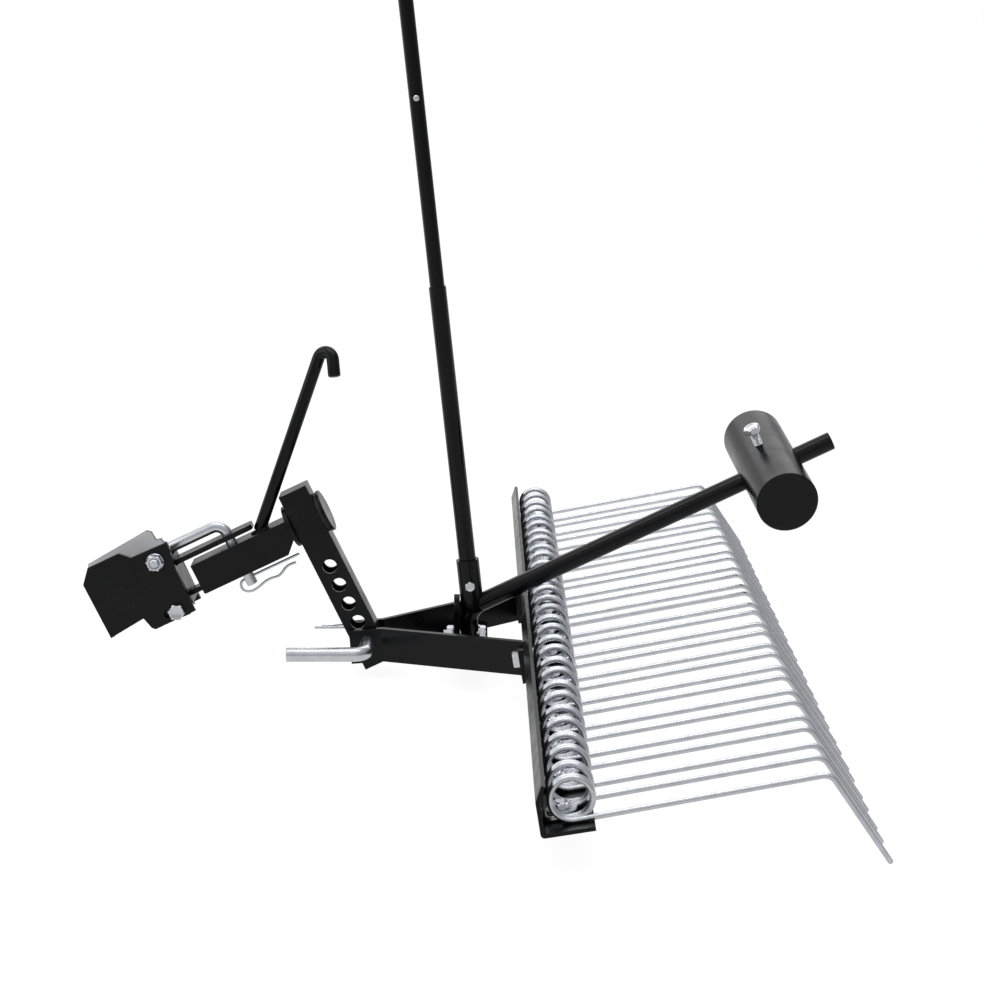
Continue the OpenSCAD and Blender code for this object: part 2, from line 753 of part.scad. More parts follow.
module tine_bar() {
    s = sin(lip_lean);
    c = cos(lip_lean);
    lip_b = leg_low + bar_front;
    out_tip = [bar_face + bar_lip * s, lip_b + bar_lip * c];
    in_tip = out_tip + [bar_t * c, -bar_t * s];
    in_knee = [bar_face + bar_t, lip_b - bar_t * tan(lip_lean / 2)];
    rear = bar_face + bar_leg;
    curve = 3;
    color(black) in_bar() difference() {
        side_plate(concat([[rear, leg_low]],
            [for (t = [0 : 15 : 90]) [bar_face + curve - curve * sin(t), leg_low + curve - curve * cos(t)]],
            [[bar_face, lip_b], out_tip, in_tip, in_knee, [bar_face + bar_t, leg_top + 1],
                [bar_face + bar_t + 1, leg_top], [rear, leg_top]]), -bar_len / 2, bar_len / 2);
        for (i = [1 : tine_count]) translate([tine_bolt_a, tine_y(i), leg_low - 1])
            cylinder(r = bolt_d / 2 + snug, h = bar_t + 2);
        for (k = [-1, 1]) bar_x(k * arm_bolt_y, arm_bolt_b, bar_face - 1, bar_face + bar_t + 1,
            bolt_d / 2 + snug);
    }
}

function tine_y(i) = (i - (tine_count + 1) / 2) * tine_pitch;
// Height of the washers on the tine bridges, in the frame of the bar
clamp_b = -coil_r + wire_d / 2 + seat;

module tine_bolts() {
    color(zinc) in_bar() for (i = [1 : tine_count]) translate([tine_bolt_a, tine_y(i), 0]) {
        translate([0, 0, leg_low - 0.1]) cylinder(r = bolt_d / 2, h = clamp_b + 2 + nut_h + 1.5 - leg_low);
        translate([0, 0, leg_low - seat - head_h]) linear_extrude(head_h)
            circle(d = bolt_af / cos(30), $fn = 6);
    }
}

module tine_washers() {
    color(zinc) in_bar() for (i = [1 : tine_count]) translate([tine_bolt_a, tine_y(i), clamp_b])
        difference() {
            cylinder(r = 11, h = 2);
            translate([0, 0, -1]) cylinder(r = bolt_d / 2 + snug, h = 4);
        }
}

module tine_nuts() {
    color(zinc) in_bar() for (i = [1 : tine_count]) translate([tine_bolt_a, tine_y(i), clamp_b + 2.05])
        difference() {
            linear_extrude(nut_h) circle(d = bolt_af / cos(30), $fn = 6);
            translate([0, 0, -1]) cylinder(r = bolt_d / 2 + snug, h = nut_h + 2);
        }
}

module arm_bolts() {
    color(zinc) in_bar() for (k = [-1, 1]) {
        y = k * arm_bolt_y;
        bar_x(y, arm_bolt_b, bar_face - arm_t - seat - 0.1, bar_face + bar_t + nut_h + 1.5, bolt_d / 2);
        hex_x(y, arm_bolt_b, bar_face - arm_t - seat - head_h, bar_face - arm_t - seat, bolt_af);
    }
}

module arm_nuts() {
    color(zinc) in_bar() for (k = [-1, 1]) {
        y = k * arm_bolt_y;
        difference() {
            hex_x(y, arm_bolt_b, bar_face + bar_t + seat, bar_face + bar_t + seat + nut_h, bolt_af);
            bar_x(y, arm_bolt_b, bar_face, bar_face + bar_t + nut_h + 1, bolt_d / 2 + snug);
        }
    }
}

// Spring tine: direction and outward normal of the wire at a slope in the side view
function along(t) = [cos(t), 0, sin(t)];
function outward(t) = [sin(t), 0, -cos(t)];
curl_turn = 720 + prong_rise - bar_tilt;
curl_steps = 16;
tip_bend_r = 10;
tip_cut = tip_bend_r * tan((tip_slope + prong_rise) / 2);
prong_knee = [prong_len, 0, -coil_r + prong_len * tan(prong_rise)];
knee_mid = prong_knee - along(prong_rise) * tip_cut + outward(prong_rise) * tip_bend_r;
inner_y = -prong_gap / 2 + coil_step * curl_turn / 360;
corner_r = 4;
// Point on the coil at a slope of the wire
function on_coil(t) = outward(t) * coil_r + [0, -prong_gap / 2 + coil_step * (prong_rise - t) / 360, 0];
// Point on the corner of the bridge, turned by t out of the line of the coil
function on_corner(t) = outward(bar_tilt) * coil_r + along(bar_tilt) * (bridge_a + corner_r - corner_r * sin(t))
    + [0, inner_y + corner_r * (1 - cos(t)), 0];
lean = coil_step / (2 * PI * coil_r);
// First half of the tine from the tip to the bridge: place, travel direction, outward normal
half = concat(
    [[prong_knee + along(-tip_slope) * tip_len, -along(-tip_slope), outward(-tip_slope)]],
    [for (t = [-tip_slope, (prong_rise - tip_slope) / 2, prong_rise])
        [knee_mid - outward(t) * tip_bend_r, -along(t), outward(t)]],
    [for (k = [0 : curl_steps]) let (t = prong_rise - k * curl_turn / curl_steps)
        [on_coil(t), (-along(t) + [0, lean, 0]) / norm(-along(t) + [0, lean, 0]), outward(t)]],
    [for (t = [0, 45, 90])
        [on_corner(t), -along(bar_tilt) * cos(t) + [0, sin(t), 0], outward(bar_tilt)]]);
straight = 4;
// The prong of the first half lies in the plane of the outer end of the coil
first = [for (k = [0 : len(half) - 1])
    k < straight ? [half[k][0] + [0, -prong_gap / 2, 0], half[k][1], half[k][2]] : half[k]];
function mirrored(v) = [v[0], -v[1], v[2]];
second = [for (k = [len(first) - 1 : -1 : 0])
    [mirrored(first[k][0]), -mirrored(first[k][1]), mirrored(first[k][2])]];
wire_line = concat(first, second);
wire_points = [for (w = wire_line) let (e = cross(w[1], w[2])) for (j = [0 : sides - 1])
    w[0] + (w[2] * cos(j * 360 / sides) + e * sin(j * 360 / sides)) * wire_d / 2];
rings = len(wire_line);
// Least air between two stretches of the same wire that are not neighbours
wire_gap = min([for (i = [0 : rings - 1]) for (j = [i + 5 : 1 : rings - 1])
    norm(wire_line[i][0] - wire_line[j][0])]) - wire_d;
echo("least air between curls of one tine in mm", wire_gap);

module tine(i) {
    color(zinc) at_coils() translate([0, tine_y(i), 0]) polyhedron(wire_points, tube_faces(rings));
}

module tine_01() { tine(1); }
module tine_02() { tine(2); }
module tine_03() { tine(3); }
module tine_04() { tine(4); }
module tine_05() { tine(5); }
module tine_06() { tine(6); }
module tine_07() { tine(7); }
module tine_08() { tine(8); }
module tine_09() { tine(9); }
module tine_10() { tine(10); }
module tine_11() { tine(11); }
module tine_12() { tine(12); }
module tine_13() { tine(13); }
module tine_14() { tine(14); }
module tine_15() { tine(15); }

tractor_plate();
hitch_bracket();
bracket_bolts();
bracket_nuts();
bracket_washers();
top_tongue();
bottom_tongue();
hitch_pin();
hitch_pin_clip();
drawbar_tube();
pivot_flange();
roll_bolt();
thrust_washer();
lock_hook();
upright();
height_pin();
height_pin_clip();
near_arm();
far_arm();
stop_bar();
cross_member();
arm_bolts();
arm_nuts();
lever_lug();
rod_clamp_bolt();
rod_clamp_nut();
weight_rod();
lever_socket();
socket_bolt();
lever_lower();
lever_upper();
stop_rivet();
lever_grip();
counterweight();
weight_bolt();
tine_bar();
tine_bolts();
tine_washers();
tine_nuts();
tine_01();
tine_02();
tine_03();
tine_04();
tine_05();
tine_06();
tine_07();
tine_08();
tine_09();
tine_10();
tine_11();
tine_12();
tine_13();
tine_14();
tine_15();
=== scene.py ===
"""Tow-behind dethatcher: its looks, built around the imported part. Lengths are in millimetres
in each piece's own frame and become metres in the frame of the part when a mesh is made."""
import math

import bmesh
import bpy
import numpy as np
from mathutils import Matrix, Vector


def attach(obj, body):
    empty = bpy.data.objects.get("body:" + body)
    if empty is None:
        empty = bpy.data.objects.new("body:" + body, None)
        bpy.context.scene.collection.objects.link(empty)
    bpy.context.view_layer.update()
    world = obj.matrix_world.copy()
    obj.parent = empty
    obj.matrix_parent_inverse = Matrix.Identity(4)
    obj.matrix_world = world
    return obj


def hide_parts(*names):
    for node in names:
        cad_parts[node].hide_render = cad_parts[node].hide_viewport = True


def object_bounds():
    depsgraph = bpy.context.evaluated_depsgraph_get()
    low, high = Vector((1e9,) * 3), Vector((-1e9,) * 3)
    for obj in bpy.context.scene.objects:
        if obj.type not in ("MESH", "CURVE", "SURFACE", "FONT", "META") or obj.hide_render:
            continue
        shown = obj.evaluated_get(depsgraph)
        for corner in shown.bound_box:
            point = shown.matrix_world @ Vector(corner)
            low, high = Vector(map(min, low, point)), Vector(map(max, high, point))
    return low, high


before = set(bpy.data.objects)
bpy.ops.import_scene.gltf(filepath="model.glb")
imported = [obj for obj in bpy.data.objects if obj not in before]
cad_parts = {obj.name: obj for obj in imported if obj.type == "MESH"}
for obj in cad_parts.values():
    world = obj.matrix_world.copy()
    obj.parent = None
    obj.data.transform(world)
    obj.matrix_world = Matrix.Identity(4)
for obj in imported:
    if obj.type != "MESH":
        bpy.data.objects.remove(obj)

cad_box = [list(corner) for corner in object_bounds()]
deg = math.radians


# Frames of the part: an origin in millimetres and a turning matrix
def tilt(slope):
    """Turn about the level cross axis that lifts the first axis by a slope in degrees."""
    c, s = math.cos(deg(slope)), math.sin(deg(slope))
    return np.array([[c, 0, -s], [0, 1, 0], [s, 0, c]])


def roll(turn):
    """Turn about the first axis by an angle in degrees."""
    c, s = math.cos(deg(turn)), math.sin(deg(turn))
    return np.array([[1, 0, 0], [0, c, -s], [0, s, c]])


X, Y, Z = np.eye(3)
HITCH_SLOPE, BAR_SLOPE, LEVER_SLOPE, ROD_SLOPE = 25.5, 9, 6, 25.4
WEIGHT_ALONG, WEIGHT_ROLL = 291, 12
HEIGHT_PIN = np.array([200.4, 0, -127])
COIL = np.array([396.1, 0, -11.6])
LEVER_FOOT = np.array([-67.7, 0, 10])
ROD_KNEE = np.array([-71, 0, 9.5])

HITCH = (np.zeros(3), tilt(HITCH_SLOPE))
PIVOT = (HITCH[1] @ HEIGHT_PIN, np.eye(3))
LEVEL = (COIL, np.eye(3))
BAR = (COIL, tilt(BAR_SLOPE))
LEVER = (COIL + LEVER_FOOT, tilt(LEVER_SLOPE))
ROD = (COIL + ROD_KNEE, tilt(ROD_SLOPE))
WEIGHT = (ROD[0] + ROD[1] @ (WEIGHT_ALONG * X), ROD[1] @ roll(WEIGHT_ROLL))


def placed(points, where):
    """Points of a piece's own frame, turned and shifted into the frame of the part, in metres."""
    origin, turn = where
    return (np.asarray(points, float) @ turn.T + origin) / 1000


# Meshes from grids of points
CAP_SHARE = 7  # a cap's disc on the wrap has the girth over this as its radius


class Parts:
    """Collects grids of points and joins them into one mesh."""

    def __init__(self):
        self.points, self.faces, self.uvs, self.count = [], [], [], 0

    def grid(self, g, uv, caps=True):
        """Adds a tube-like grid: rows along its length, closed around. Each row of points is joined
        to the next by four-sided faces. With caps both ends are closed with one flat face each."""
        n, m = g.shape[:2]
        i, j = np.meshgrid(np.arange(n - 1), np.arange(m), indexing="ij")
        k = (j + 1) % m
        quads = np.stack([i * m + j, i * m + k, (i + 1) * m + k, (i + 1) * m + j], -1).reshape(-1, 4)
        u = np.stack([uv[0][i], uv[0][i], uv[0][i + 1], uv[0][i + 1]], -1).reshape(-1, 4)
        v = np.stack([j, j + 1, j + 1, j], -1).reshape(-1, 4) * (uv[1] / m)
        self.faces += (quads + self.count).tolist()
        self.uvs.append(np.stack([u, v], -1).reshape(-1, 2))
        if caps:
            start, end = np.arange(m)[::-1], (n - 1) * m + np.arange(m)
            self.faces += [(start + self.count).tolist(), (end + self.count).tolist()]
            a = np.arange(m) * 2 * np.pi / m
            disc = np.stack([np.cos(a), np.sin(a)], -1) * uv[1] / CAP_SHARE
            self.uvs += [disc[::-1], disc]
        self.points.append(g.reshape(-1, 3))
        self.count += n * m

    def made(self, name, body, slot, material, nodes=(), smooth=35):
        """Makes the mesh object, shades it smooth up to an angle, and ties it to a body of the part."""
        mesh = bpy.data.meshes.new(name)
        mesh.from_pydata(np.concatenate(self.points).tolist(), [], self.faces)
        layer = mesh.uv_layers.new(name="wrap")
        layer.data.foreach_set("uv", np.concatenate(self.uvs).astype(np.float32).ravel())
        mesh.update()
        mesh.shade_smooth()
        mesh.set_sharp_from_angle(angle=deg(smooth))
        return tie(bpy.data.objects.new(name, mesh), body, material, nodes)


def tie(obj, body, material, nodes):
    """Puts an object into the scene with its material and its body, and hides the part's solids that it
    stands in for.
    """
    bpy.context.scene.collection.objects.link(obj)
    obj.data.materials.clear()
    obj.data.materials.append(material)
    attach(obj, body)
    if nodes:
        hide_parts(*nodes)
    return obj


def unit(v):
    """Each vector divided by its length."""
    return v / np.linalg.norm(v, axis=-1, keepdims=True)


def run_along(points):
    """Length of a line from its start to each of its points."""
    return np.concatenate([[0], np.cumsum(np.linalg.norm(np.diff(points, axis=0), axis=1))])


def round_axis(axis, sides):
    """The unit axis, the angles of a round section about it, and the direction of each angle."""
    axis = unit(np.asarray(axis, float))
    first = unit(np.cross(axis, [0.31, 0.95, 0.05] if abs(axis[1]) < 0.9 else [0, 0, 1.0]))
    second = np.cross(axis, first)
    a = np.arange(sides) * 2 * np.pi / sides
    return axis, a, np.cos(a)[:, None] * first + np.sin(a)[:, None] * second


def swept(parts, path, side, radius, where, sides):
    """A round section carried along a path: around each point stand sides points, at the cosine of
    their angle times the side direction plus the sine times the third direction, square to the path."""
    path = np.asarray(path, float)
    along = unit(np.gradient(path, axis=0))
    side = np.broadcast_to(np.asarray(side, float), path.shape)
    first = unit(side - (side * along).sum(-1, keepdims=True) * along)
    second = np.cross(along, first)
    a = np.arange(sides) * 2 * np.pi / sides
    radius = np.broadcast_to(np.asarray(radius, float), path.shape[:1])
    ring = np.cos(a)[None, :, None] * first[:, None] + np.sin(a)[None, :, None] * second[:, None]
    g = path[:, None] + ring * radius[:, None, None]
    parts.grid(placed(g, where), (run_along(path) / 1000, 2 * np.pi * radius.max() / 1000))


def bent_line(corners, radii, steps):
    """A line through corner points whose corners are rounded by arcs: each arc starts the radius
    times the tangent of half the turn before its corner and sweeps evenly to the same way after it."""
    c = np.asarray(corners, float)
    line = [c[:1]]
    for i, r in zip(range(1, len(c) - 1), radii):
        a, b = unit(c[i - 1] - c[i]), unit(c[i + 1] - c[i])
        half = (np.pi - np.arccos(np.clip(a @ b, -1, 1))) / 2
        middle = c[i] + unit(a + b) * r / np.cos(half)
        start = unit(c[i] + a * r * np.tan(half) - middle)
        t = np.linspace(0, 2 * half, steps)[:, None]
        line.append(middle + r * (start * np.cos(t) - a * np.sin(t)))
    line.append(c[-1:])
    return np.concatenate(line)


def round_bar(parts, line, side, r, where, edge, sides=24):
    """A bar along a line, with both ends rounded: three short rings swell from the end radius to
    the full one along a quarter of an ellipse."""
    line = np.asarray(line, float)
    t = np.array([0, 0.3, 0.62, 1.0])
    grow = r - edge + edge * np.sqrt(1 - (1 - t) ** 2)
    head = line[0] + unit(line[1] - line[0]) * (t * edge)[:, None]
    tail = line[-1] + unit(line[-2] - line[-1]) * (t[::-1] * edge)[:, None]
    path = np.concatenate([head, line[1:-1], tail])
    radius = np.concatenate([grow, np.full(len(line) - 2, r), grow[::-1]])
    swept(parts, path, side, radius, where, sides)


def turned(parts, profile, start, axis, where, sides, shape=None, caps=True):
    """A profile of radius and height turned about an axis. Where a shape is given it sets, for each
    angle, the largest radius, so that a turned blank becomes a hexagon with a chamfered edge. A
    closed profile is turned without caps and leaves a bore."""
    p = np.asarray(profile, float)
    axis, a, ring = round_axis(axis, sides)
    r = np.broadcast_to(p[:, :1], (len(p), sides))
    if shape is not None:
        r = np.minimum(r, shape(a)[None])
    g = np.asarray(start, float) + r[..., None] * ring[None] + p[:, 1][:, None, None] * axis
    parts.grid(placed(g, where), (run_along(p) / 1000, 2 * np.pi * p[:, 0].max() / 1000), caps)


def hexagon(af):
    """Distance of a hexagon's side from its middle at each angle: half the width over the flats
    divided by the cosine of the angle from the nearest flat."""
    return lambda a: af / 2 / np.cos((a + np.pi / 6) % (np.pi / 3) - np.pi / 6)


def hex_piece(parts, af, h, start, axis, where, both=False, bore=None):
    """A bolt head or nut: a chamfered blank cut to a hexagon. A head has a shallow dish on top. A
    nut is chamfered at both ends and has a countersunk mouth round the bolt."""
    corner, flat = af / math.cos(deg(30)) / 2, af / 2 * 0.97
    drop = (corner - flat) * 0.6
    low = [[flat, 0], [corner, drop]] if both else [[corner, 0]]
    top = [[corner, h - drop], [flat, h]]
    if bore:
        mouth, hole = bore + 0.8, bore + 0.1
        top += [[mouth, h], [hole, h - 0.7], [hole, h - 1.2]]
    else:
        dish = 0.15
        top += [[flat * 0.7, h], [flat * 0.66, h - dish], [0.2, h - dish]]
    turned(parts, low + top, start, axis, where, 72, hexagon(af))


def threaded(parts, r, pitch, length, start, axis, where, sides=28):
    """A threaded bolt end: the radius falls and rises by the depth of the thread as a triangle wave
    of the height in pitches less the turn, and a chamfer closes the end."""
    depth, chamfer = 0.6 * pitch, 0.8
    axis, a, ring = round_axis(axis, sides)
    rows = max(6, int(length / pitch * 6)) + 1
    h = np.linspace(0, length, rows)[:, None]
    wave = np.abs(((h / pitch - a / (2 * np.pi)) % 1) * 2 - 1)
    radius = np.minimum(r - depth * wave, r - chamfer + np.maximum(0, length - h) * 0.9)
    g = np.asarray(start, float) + radius[..., None] * ring[None] + h[..., None] * axis
    parts.grid(placed(g, where), (h[:, 0] / 1000, 2 * np.pi * r / 1000))


def washer(parts, r, bore, t, start, axis, where):
    """A washer: a ring profile with rounded outer and inner edges turned about its axis."""
    e = min(0.3, t / 3)
    profile = [[bore, e], [bore + e, 0], [r - e, 0], [r, e], [r, t - e], [r - e, t], [bore + e, t],
               [bore, t - e], [bore, e]]
    turned(parts, profile, start, axis, where, 40, caps=False)


def bead(parts, line, side, r, where):
    """A weld bead: a bar along a line whose radius swells and shrinks once each pitch, as the
    overlapping drops of weld metal do, and that thins to a point at both ends."""
    pitch = 2.2
    line = np.asarray(line, float)
    run = run_along(line)
    s = np.linspace(0, run[-1], max(8, int(run[-1] / pitch * 5)))
    path = np.stack([np.interp(s, run, line[:, k]) for k in range(3)], -1)
    drops = 0.86 + 0.14 * np.abs(np.sin(np.pi * s / pitch)) + 0.05 * np.sin(s * 0.9 + 1.3)
    ends = np.clip(np.minimum(s, run[-1] - s) / r, 0.08, 1) ** 0.5
    swept(parts, path, side, r * drops * ends, where, 10)


# Copies of the part's own solids
SAME_POINT = 2e-6  # metres between points that are one
TINY_EDGE = 6e-5  # metres, the longest edge that is merged once a form has moved the points
NO_LENGTH = 1e-5  # metres, below which an edge counts as having no length
FLAT_ANGLE = 0.8  # degrees between triangles of one flat area
EDGE_ANGLE = 30  # degrees from which an edge is sharp and gets its round


def bracket_form(p, y, q):
    """A point of the outer bracket in the hitch's side view, moved to where the photograph has it: the
    web stands 2 mm further forward, both plates end just behind it, and the far plate, which the near
    one hides, is lower. The moves go from corners in whole millimetres to their new places."""
    far = y > 0
    moves = {(85, 9): (80.2, 3), (80, -36): (79, -35.5), (80, -35): (79, -35.5),
             (85, 31): (73.5, 24.5) if far else (84.2, 30),
             (49, 31): (50.6, 24.5) if far else (49.4, 31)}
    in_web = abs(y) < 20 and 77.5 < p < 82.5
    p1, q1 = moves.get((round(p), round(q)), (p - 2 if in_web else p, q))
    return p1, y, q1


def tube_form(p, y, q):
    """A point of the drawbar tube: the bore of the roll bolt stands 0.05 mm into the ceiling of the
    tube, and that hollow is closed, because an edge can't be rounded on it."""
    ceiling = -2.0
    in_hollow = abs(y) < 1.2 and ceiling - 0.02 < q < -1.9
    return p, y, (ceiling if in_hollow else q)


def join_flats(bm):
    """Joins the triangles of each flat area into whole faces."""
    bmesh.ops.dissolve_limit(bm, angle_limit=deg(FLAT_ANGLE), verts=bm.verts, edges=bm.edges)


def softened(node, body, material, width, segments=2, form=None):
    """A copy of a solid's skin with its triangles merged, its points moved where a form is given, and
    a small round rolled along every sharp edge."""
    bm = bmesh.new()
    bm.from_mesh(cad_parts[node].data)
    bmesh.ops.remove_doubles(bm, verts=bm.verts, dist=SAME_POINT)
    join_flats(bm)
    if form:
        for vert in bm.verts:
            vert.co = placed([form(*(np.array(vert.co) * 1000 @ HITCH[1]))], HITCH)[0]
        bmesh.ops.remove_doubles(bm, verts=bm.verts, dist=TINY_EDGE)
        bmesh.ops.dissolve_degenerate(bm, dist=NO_LENGTH, edges=bm.edges)
        join_flats(bm)
    mesh = bpy.data.meshes.new(node + "_skin")
    bm.to_mesh(mesh)
    bm.free()
    mesh.shade_smooth()
    mesh.set_sharp_from_angle(angle=deg(EDGE_ANGLE))
    obj = tie(bpy.data.objects.new(node + "_skin", mesh), body, material, [node])
    rolled = obj.modifiers.new("rolled_edges", "BEVEL")
    rolled.width = width / 1000
    rolled.segments = segments
    rolled.limit_method = "ANGLE"
    rolled.angle_limit = deg(EDGE_ANGLE)
    rolled.use_clamp_overlap = True
    rolled.harden_normals = True
    return obj


# Shader effects that several finishes share
def group(name, inputs, outputs):
    """An empty node group with named inputs and outputs."""
    tree = bpy.data.node_groups.new(name, "ShaderNodeTree")
    for label, value in inputs.items():
        s = tree.interface.new_socket(name=label, in_out="INPUT", socket_type="NodeSocketFloat")
        s.default_value = value
    tree.interface.new_socket(name="Place", in_out="INPUT", socket_type="NodeSocketVector")
    for label in outputs:
        tree.interface.new_socket(name=label, in_out="OUTPUT", socket_type="NodeSocketFloat")
    return tree, tree.nodes.new("NodeGroupInput"), tree.nodes.new("NodeGroupOutput")


def noise(tree, place, scale, detail, rough, stretch=None):
    """A noise texture over a place, stretched first where a stretch is given."""
    n = tree.nodes.new("ShaderNodeTexNoise")
    n.inputs["Scale"].default_value = scale
    n.inputs["Detail"].default_value = detail
    n.inputs["Roughness"].default_value = rough
    if stretch:
        m = tree.nodes.new("ShaderNodeMapping")
        m.inputs["Scale"].default_value = stretch
        tree.links.new(place, m.inputs["Vector"])
        place = m.outputs["Vector"]
    tree.links.new(place, n.inputs["Vector"])
    return n.outputs["Fac"]


def fed(tree, socket, x):
    """Sets an input to a plain number, or links another node's output to it."""
    if isinstance(x, (int, float)):
        socket.default_value = x
    else:
        tree.links.new(x, socket)


def math_node(tree, kind, *values, clamp=False):
    """A math node fed by sockets or plain numbers."""
    n = tree.nodes.new("ShaderNodeMath")
    n.operation = kind
    n.use_clamp = clamp
    for k, x in enumerate(values):
        fed(tree, n.inputs[k], x)
    return n.outputs[0]


def spread(tree, value, low, high, to_low, to_high):
    """A value mapped from one span to another and held at its ends."""
    n = tree.nodes.new("ShaderNodeMapRange")
    for label, x in (("From Min", low), ("From Max", high), ("To Min", to_low), ("To Max", to_high)):
        fed(tree, n.inputs[label], x)
    tree.links.new(value, n.inputs["Value"])
    return n.outputs["Result"]


def make_orange_peel():
    """Sprayed powder: fine even ripples, with faint larger waves where the coat pooled."""
    tree, i, o = group("orange_peel", {"Ripple": 900.0, "Wave": 60.0}, ("Height", "Mottle"))
    fine = tree.nodes.new("ShaderNodeTexNoise")
    tree.links.new(i.outputs["Place"], fine.inputs["Vector"])
    tree.links.new(i.outputs["Ripple"], fine.inputs["Scale"])
    fine.inputs["Detail"].default_value = 1.5
    broad = tree.nodes.new("ShaderNodeTexNoise")
    tree.links.new(i.outputs["Place"], broad.inputs["Vector"])
    tree.links.new(i.outputs["Wave"], broad.inputs["Scale"])
    broad.inputs["Detail"].default_value = 4
    both = math_node(tree, "MULTIPLY_ADD", broad.outputs["Fac"], 0.6, fine.outputs["Fac"])
    tree.links.new(both, o.inputs["Height"])
    tree.links.new(broad.outputs["Fac"], o.inputs["Mottle"])
    return tree


def make_scuffs():
    """Handling marks: thin lines that are bright where a stretched noise crosses its middle value,
    kept to patches by a broad noise."""
    tree, i, o = group("scuffs", {"Amount": 0.5}, ("Mask",))
    lines = None
    for stretch, scale in (((14, 260, 60), 3.0), ((200, 30, 16), 4.3)):
        n = noise(tree, i.outputs["Place"], scale, 2.0, 0.5, stretch)
        off = math_node(tree, "ABSOLUTE", math_node(tree, "SUBTRACT", n, 0.5))
        line = spread(tree, off, 0.0, 0.006, 1.0, 0.0)
        lines = line if lines is None else math_node(tree, "MAXIMUM", lines, line)
    patch = spread(tree, noise(tree, i.outputs["Place"], 38.0, 4.0, 0.6), 0.52, 0.66, 0.0, 1.0)
    masked = math_node(tree, "MULTIPLY", lines, patch)
    tree.links.new(math_node(tree, "MULTIPLY", masked, i.outputs["Amount"]), o.inputs["Mask"])
    return tree


def make_dust():
    """Settled dust: it lies where the surface faces up, broken by a cloudy noise and fine specks."""
    tree, i, o = group("settled_dust", {"Amount": 0.2}, ("Mask",))
    normal = tree.nodes.new("ShaderNodeNewGeometry")
    split = tree.nodes.new("ShaderNodeSeparateXYZ")
    tree.links.new(normal.outputs["Normal"], split.inputs["Vector"])
    up = spread(tree, split.outputs["Z"], 0.2, 1.0, 0.0, 1.0)
    cloud = spread(tree, noise(tree, i.outputs["Place"], 75.0, 5.0, 0.65), 0.35, 0.75, 0.0, 1.0)
    specks = spread(tree, noise(tree, i.outputs["Place"], 1500.0, 1.0, 0.5), 0.66, 0.74, 0.0, 1.0)
    broken = math_node(tree, "MULTIPLY_ADD", specks, 0.7, cloud)
    lay = math_node(tree, "MULTIPLY", up, broken, clamp=True)
    tree.links.new(math_node(tree, "MULTIPLY", lay, i.outputs["Amount"]), o.inputs["Mask"])
    return tree


def make_drawn_lines():
    """Lines drawn along a wire or bar by the die: noise that changes quickly around the piece and
    slowly along it, read from the piece's wrap of length and girth."""
    tree, i, o = group("drawn_lines", {"Fineness": 1.0}, ("Lines", "Bands"))
    lines = noise(tree, i.outputs["Place"], 900.0, 3.0, 0.6, (0.02, 1.6, 1.0))
    bands = noise(tree, i.outputs["Place"], 26.0, 4.0, 0.6, (1.0, 2.5, 1.0))
    tree.links.new(math_node(tree, "MULTIPLY", lines, i.outputs["Fineness"]), o.inputs["Lines"])
    tree.links.new(bands, o.inputs["Bands"])
    return tree


ORANGE_PEEL, SCUFFS, DUST, DRAWN = make_orange_peel(), make_scuffs(), make_dust(), make_drawn_lines()


def use(tree, shared, place, **values):
    """Places a shared effect in a material with its own values."""
    n = tree.nodes.new("ShaderNodeGroup")
    n.node_tree = shared
    tree.links.new(place, n.inputs["Place"])
    for label, value in values.items():
        n.inputs[label].default_value = value
    return n.outputs


def blank(name):
    """A new material: its tree, its shader and the coordinates of the piece."""
    m = bpy.data.materials.new(name)
    m.use_nodes = True
    shader = m.node_tree.nodes["Principled BSDF"]
    where = m.node_tree.nodes.new("ShaderNodeTexCoord")
    return m, m.node_tree, shader, where.outputs["Object"], where.outputs["UV"]


def tint(tree, mask, plain, other):
    """A colour mixed from two by a mask."""
    n = tree.nodes.new("ShaderNodeMix")
    n.data_type = "RGBA"
    tree.links.new(mask, n.inputs["Factor"])
    for socket, colour in ((n.inputs[6], plain), (n.inputs[7], other)):
        if isinstance(colour, tuple):
            socket.default_value = (*colour, 1)
        else:
            tree.links.new(colour, socket)
    return n.outputs[2]


def bumped(tree, shader, height, strength, distance):
    """A height turned into a bend of the surface normal."""
    n = tree.nodes.new("ShaderNodeBump")
    n.inputs["Strength"].default_value = strength
    n.inputs["Distance"].default_value = distance
    tree.links.new(height, n.inputs["Height"])
    tree.links.new(n.outputs["Normal"], shader.inputs["Normal"])


# Finishes: their colours, how they are made, and the ones that the pieces wear
COAT, COAT_POOLED = (0.0022, 0.0023, 0.0030), (0.0038, 0.0039, 0.0048)
COAT_SCUFF, COAT_DUST = (0.06, 0.06, 0.064), (0.12, 0.116, 0.108)
# Pale greys painted on the far wall's inner side as a painted reflection of the glossy black coat seen
# at a grazing angle
PAINTED_REFLECTION_GREY, PAINTED_REFLECTION_PALE = (0.78, 0.78, 0.80), (0.88, 0.88, 0.90)
MOULDED, MOULDED_WORN, MOULDED_DUST = (0.014, 0.014, 0.0145), (0.03, 0.0295, 0.029), (0.16, 0.155, 0.145)
ZINC_COOL, ZINC_CLOUD, ZINC_STRAW, ZINC_MARK = (
    (0.91, 0.95, 1.0), (0.78, 0.81, 0.86), (0.93, 0.9, 0.82), (0.5, 0.5, 0.52))
ZINC_TONE = 0.78


